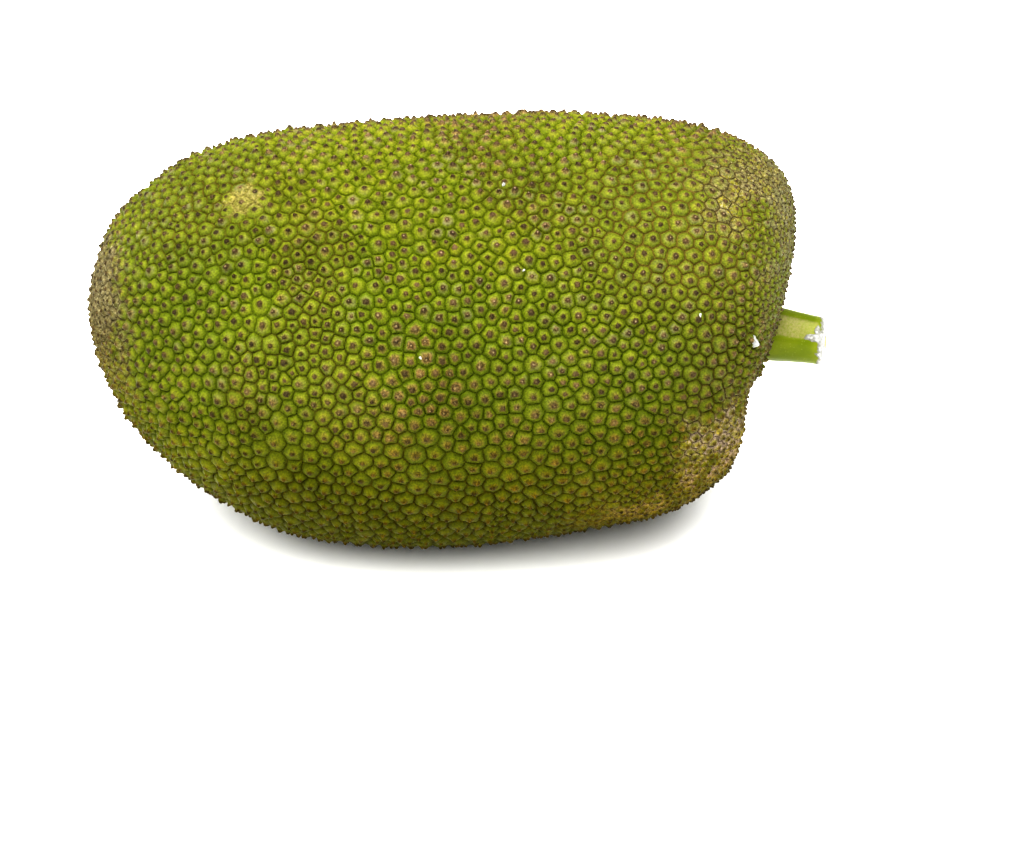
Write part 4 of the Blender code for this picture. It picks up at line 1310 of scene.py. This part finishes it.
def latex_material():
    m = Tree("dried_latex")
    thick = m.attr("latex_thick")
    small = m.noise(0.0012, 3.0, 0.6, 2.0)
    grain = m.noise(0.0004, 2.0, 0.6, 3.0)
    col = m.mix(m.span(small, 0.35, 0.7), (0.160, 0.158, 0.132), (0.262, 0.260, 0.240))
    col = m.mix(m.span(thick, 0.25, 0.34), col, (0.330, 0.330, 0.320))
    col = m.mix(m.span(thick, 0.12, -0.03), col, (0.160, 0.175, 0.050))
    col = m.mix(m.mul(m.span(grain, 0.60, 0.72), 0.4), col, (0.130, 0.122, 0.095))
    m.put(m.bsdf.inputs["Base Color"], col)
    m.put(m.bsdf.inputs["Roughness"], m.span(small, 0.3, 0.7, 0.34, 0.52))
    m.bsdf.inputs["Specular IOR Level"].default_value = 0.5
    m.bsdf.inputs["Subsurface Weight"].default_value = 0.2
    m.bsdf.inputs["Subsurface Radius"].default_value = (1.0, 0.9, 0.7)
    m.bsdf.inputs["Subsurface Scale"].default_value = 0.001
    m.put(m.bsdf.inputs["Normal"], m.bump(m.add(small, m.mul(grain, 0.4)), 0.00020, 0.8))
    return m.mat


M_RIND, M_STEM, M_LATEX = rind_material(), stem_material(), latex_material()


# =====================================================================================================================
# 8. putting the pieces on the frame; floor, light and camera
# =====================================================================================================================
for ob in RIND:
    ob.data.materials.append(M_RIND)
    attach(ob, "root")
    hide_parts("fruit")
STEM.data.materials.append(M_STEM)
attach(STEM, "root")
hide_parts("stem")
for ob in (LATEX, DROPS):
    ob.data.materials.append(M_LATEX)
    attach(ob, "root")

floor_mesh = bpy.data.meshes.new("studio_floor")
FS = 30.0
floor_mesh.from_pydata([(-FS, -FS, 0), (FS, -FS, 0), (FS, FS, 0), (-FS, FS, 0)], [], [(0, 1, 2, 3)])
floor = bpy.data.objects.new("studio_floor", floor_mesh)
bpy.context.scene.collection.objects.link(floor)
fm = bpy.data.materials.new("paper_white")
fm.use_nodes = True
fb = fm.node_tree.nodes["Principled BSDF"]
fb.inputs["Base Color"].default_value = (0.93, 0.93, 0.93, 1)
fb.inputs["Roughness"].default_value = 0.9
fb.inputs["Specular IOR Level"].default_value = 0.1
floor_mesh.materials.append(fm)

world = bpy.data.worlds.new("studio")
bpy.context.scene.world = world
world.use_nodes = True
bg = world.node_tree.nodes["Background"]
bg.inputs["Color"].default_value = (1.0, 1.0, 1.0, 1)
# white walls all round, a darker ceiling above them
wt = world.node_tree
way_in = wt.nodes.new("ShaderNodeTexCoord")
way_z = wt.nodes.new("ShaderNodeSeparateXYZ")
fall = wt.nodes.new("ShaderNodeMapRange")
fall.interpolation_type = "SMOOTHSTEP"
for sock, val in (("From Min", 0.13), ("From Max", 0.40), ("To Min", 0.44), ("To Max", 0.16)):
    fall.inputs[sock].default_value = val
wt.links.new(way_in.outputs["Generated"], way_z.inputs[0])
wt.links.new(way_z.outputs[2], fall.inputs["Value"])
wt.links.new(fall.outputs["Result"], bg.inputs["Strength"])


def sun(name, azimuth, elevation, spread, power):
    data = bpy.data.lights.new(name, "SUN")
    data.energy = power
    data.angle = math.radians(spread)
    ob = bpy.data.objects.new(name, data)
    a, e = math.radians(azimuth), math.radians(elevation)
    way = Vector((math.sin(a) * math.cos(e), -math.cos(a) * math.cos(e), math.sin(e)))
    ob.rotation_euler = way.to_track_quat("Z", "Y").to_euler()
    ob.location = way * 3
    bpy.context.scene.collection.objects.link(ob)
    return ob


sun("overhead_bank", -18.0, 69.0, 88.0, 4.5)

cam = bpy.data.cameras.new("camera")
cam.lens = 85.0
cam.sensor_width = 36.0
cam.sensor_fit = "HORIZONTAL"
cam.clip_start, cam.clip_end = 0.05, 100.0
cam_ob = bpy.data.objects.new("camera", cam)
bpy.context.scene.collection.objects.link(cam_ob)
ELEV = math.radians(29.59)
fwd = np.array([0.0, math.cos(ELEV), -math.sin(ELEV)])
upv = np.array([0.0, math.sin(ELEV), math.cos(ELEV)])
spot_at = SHIFT - 1.195 * fwd - 0.054 * upv + np.array([0.038, 0.0, 0.0])
cam_ob.location = Vector(spot_at)
cam_ob.rotation_euler = (math.pi / 2 - ELEV, 0.0, 0.0)
bpy.context.scene.camera = cam_ob

view = bpy.context.scene.view_settings
view.view_transform = "Standard"
view.look = "None"
view.exposure = 1.34
view.gamma = 0.66

bpy.context.view_layer.update()
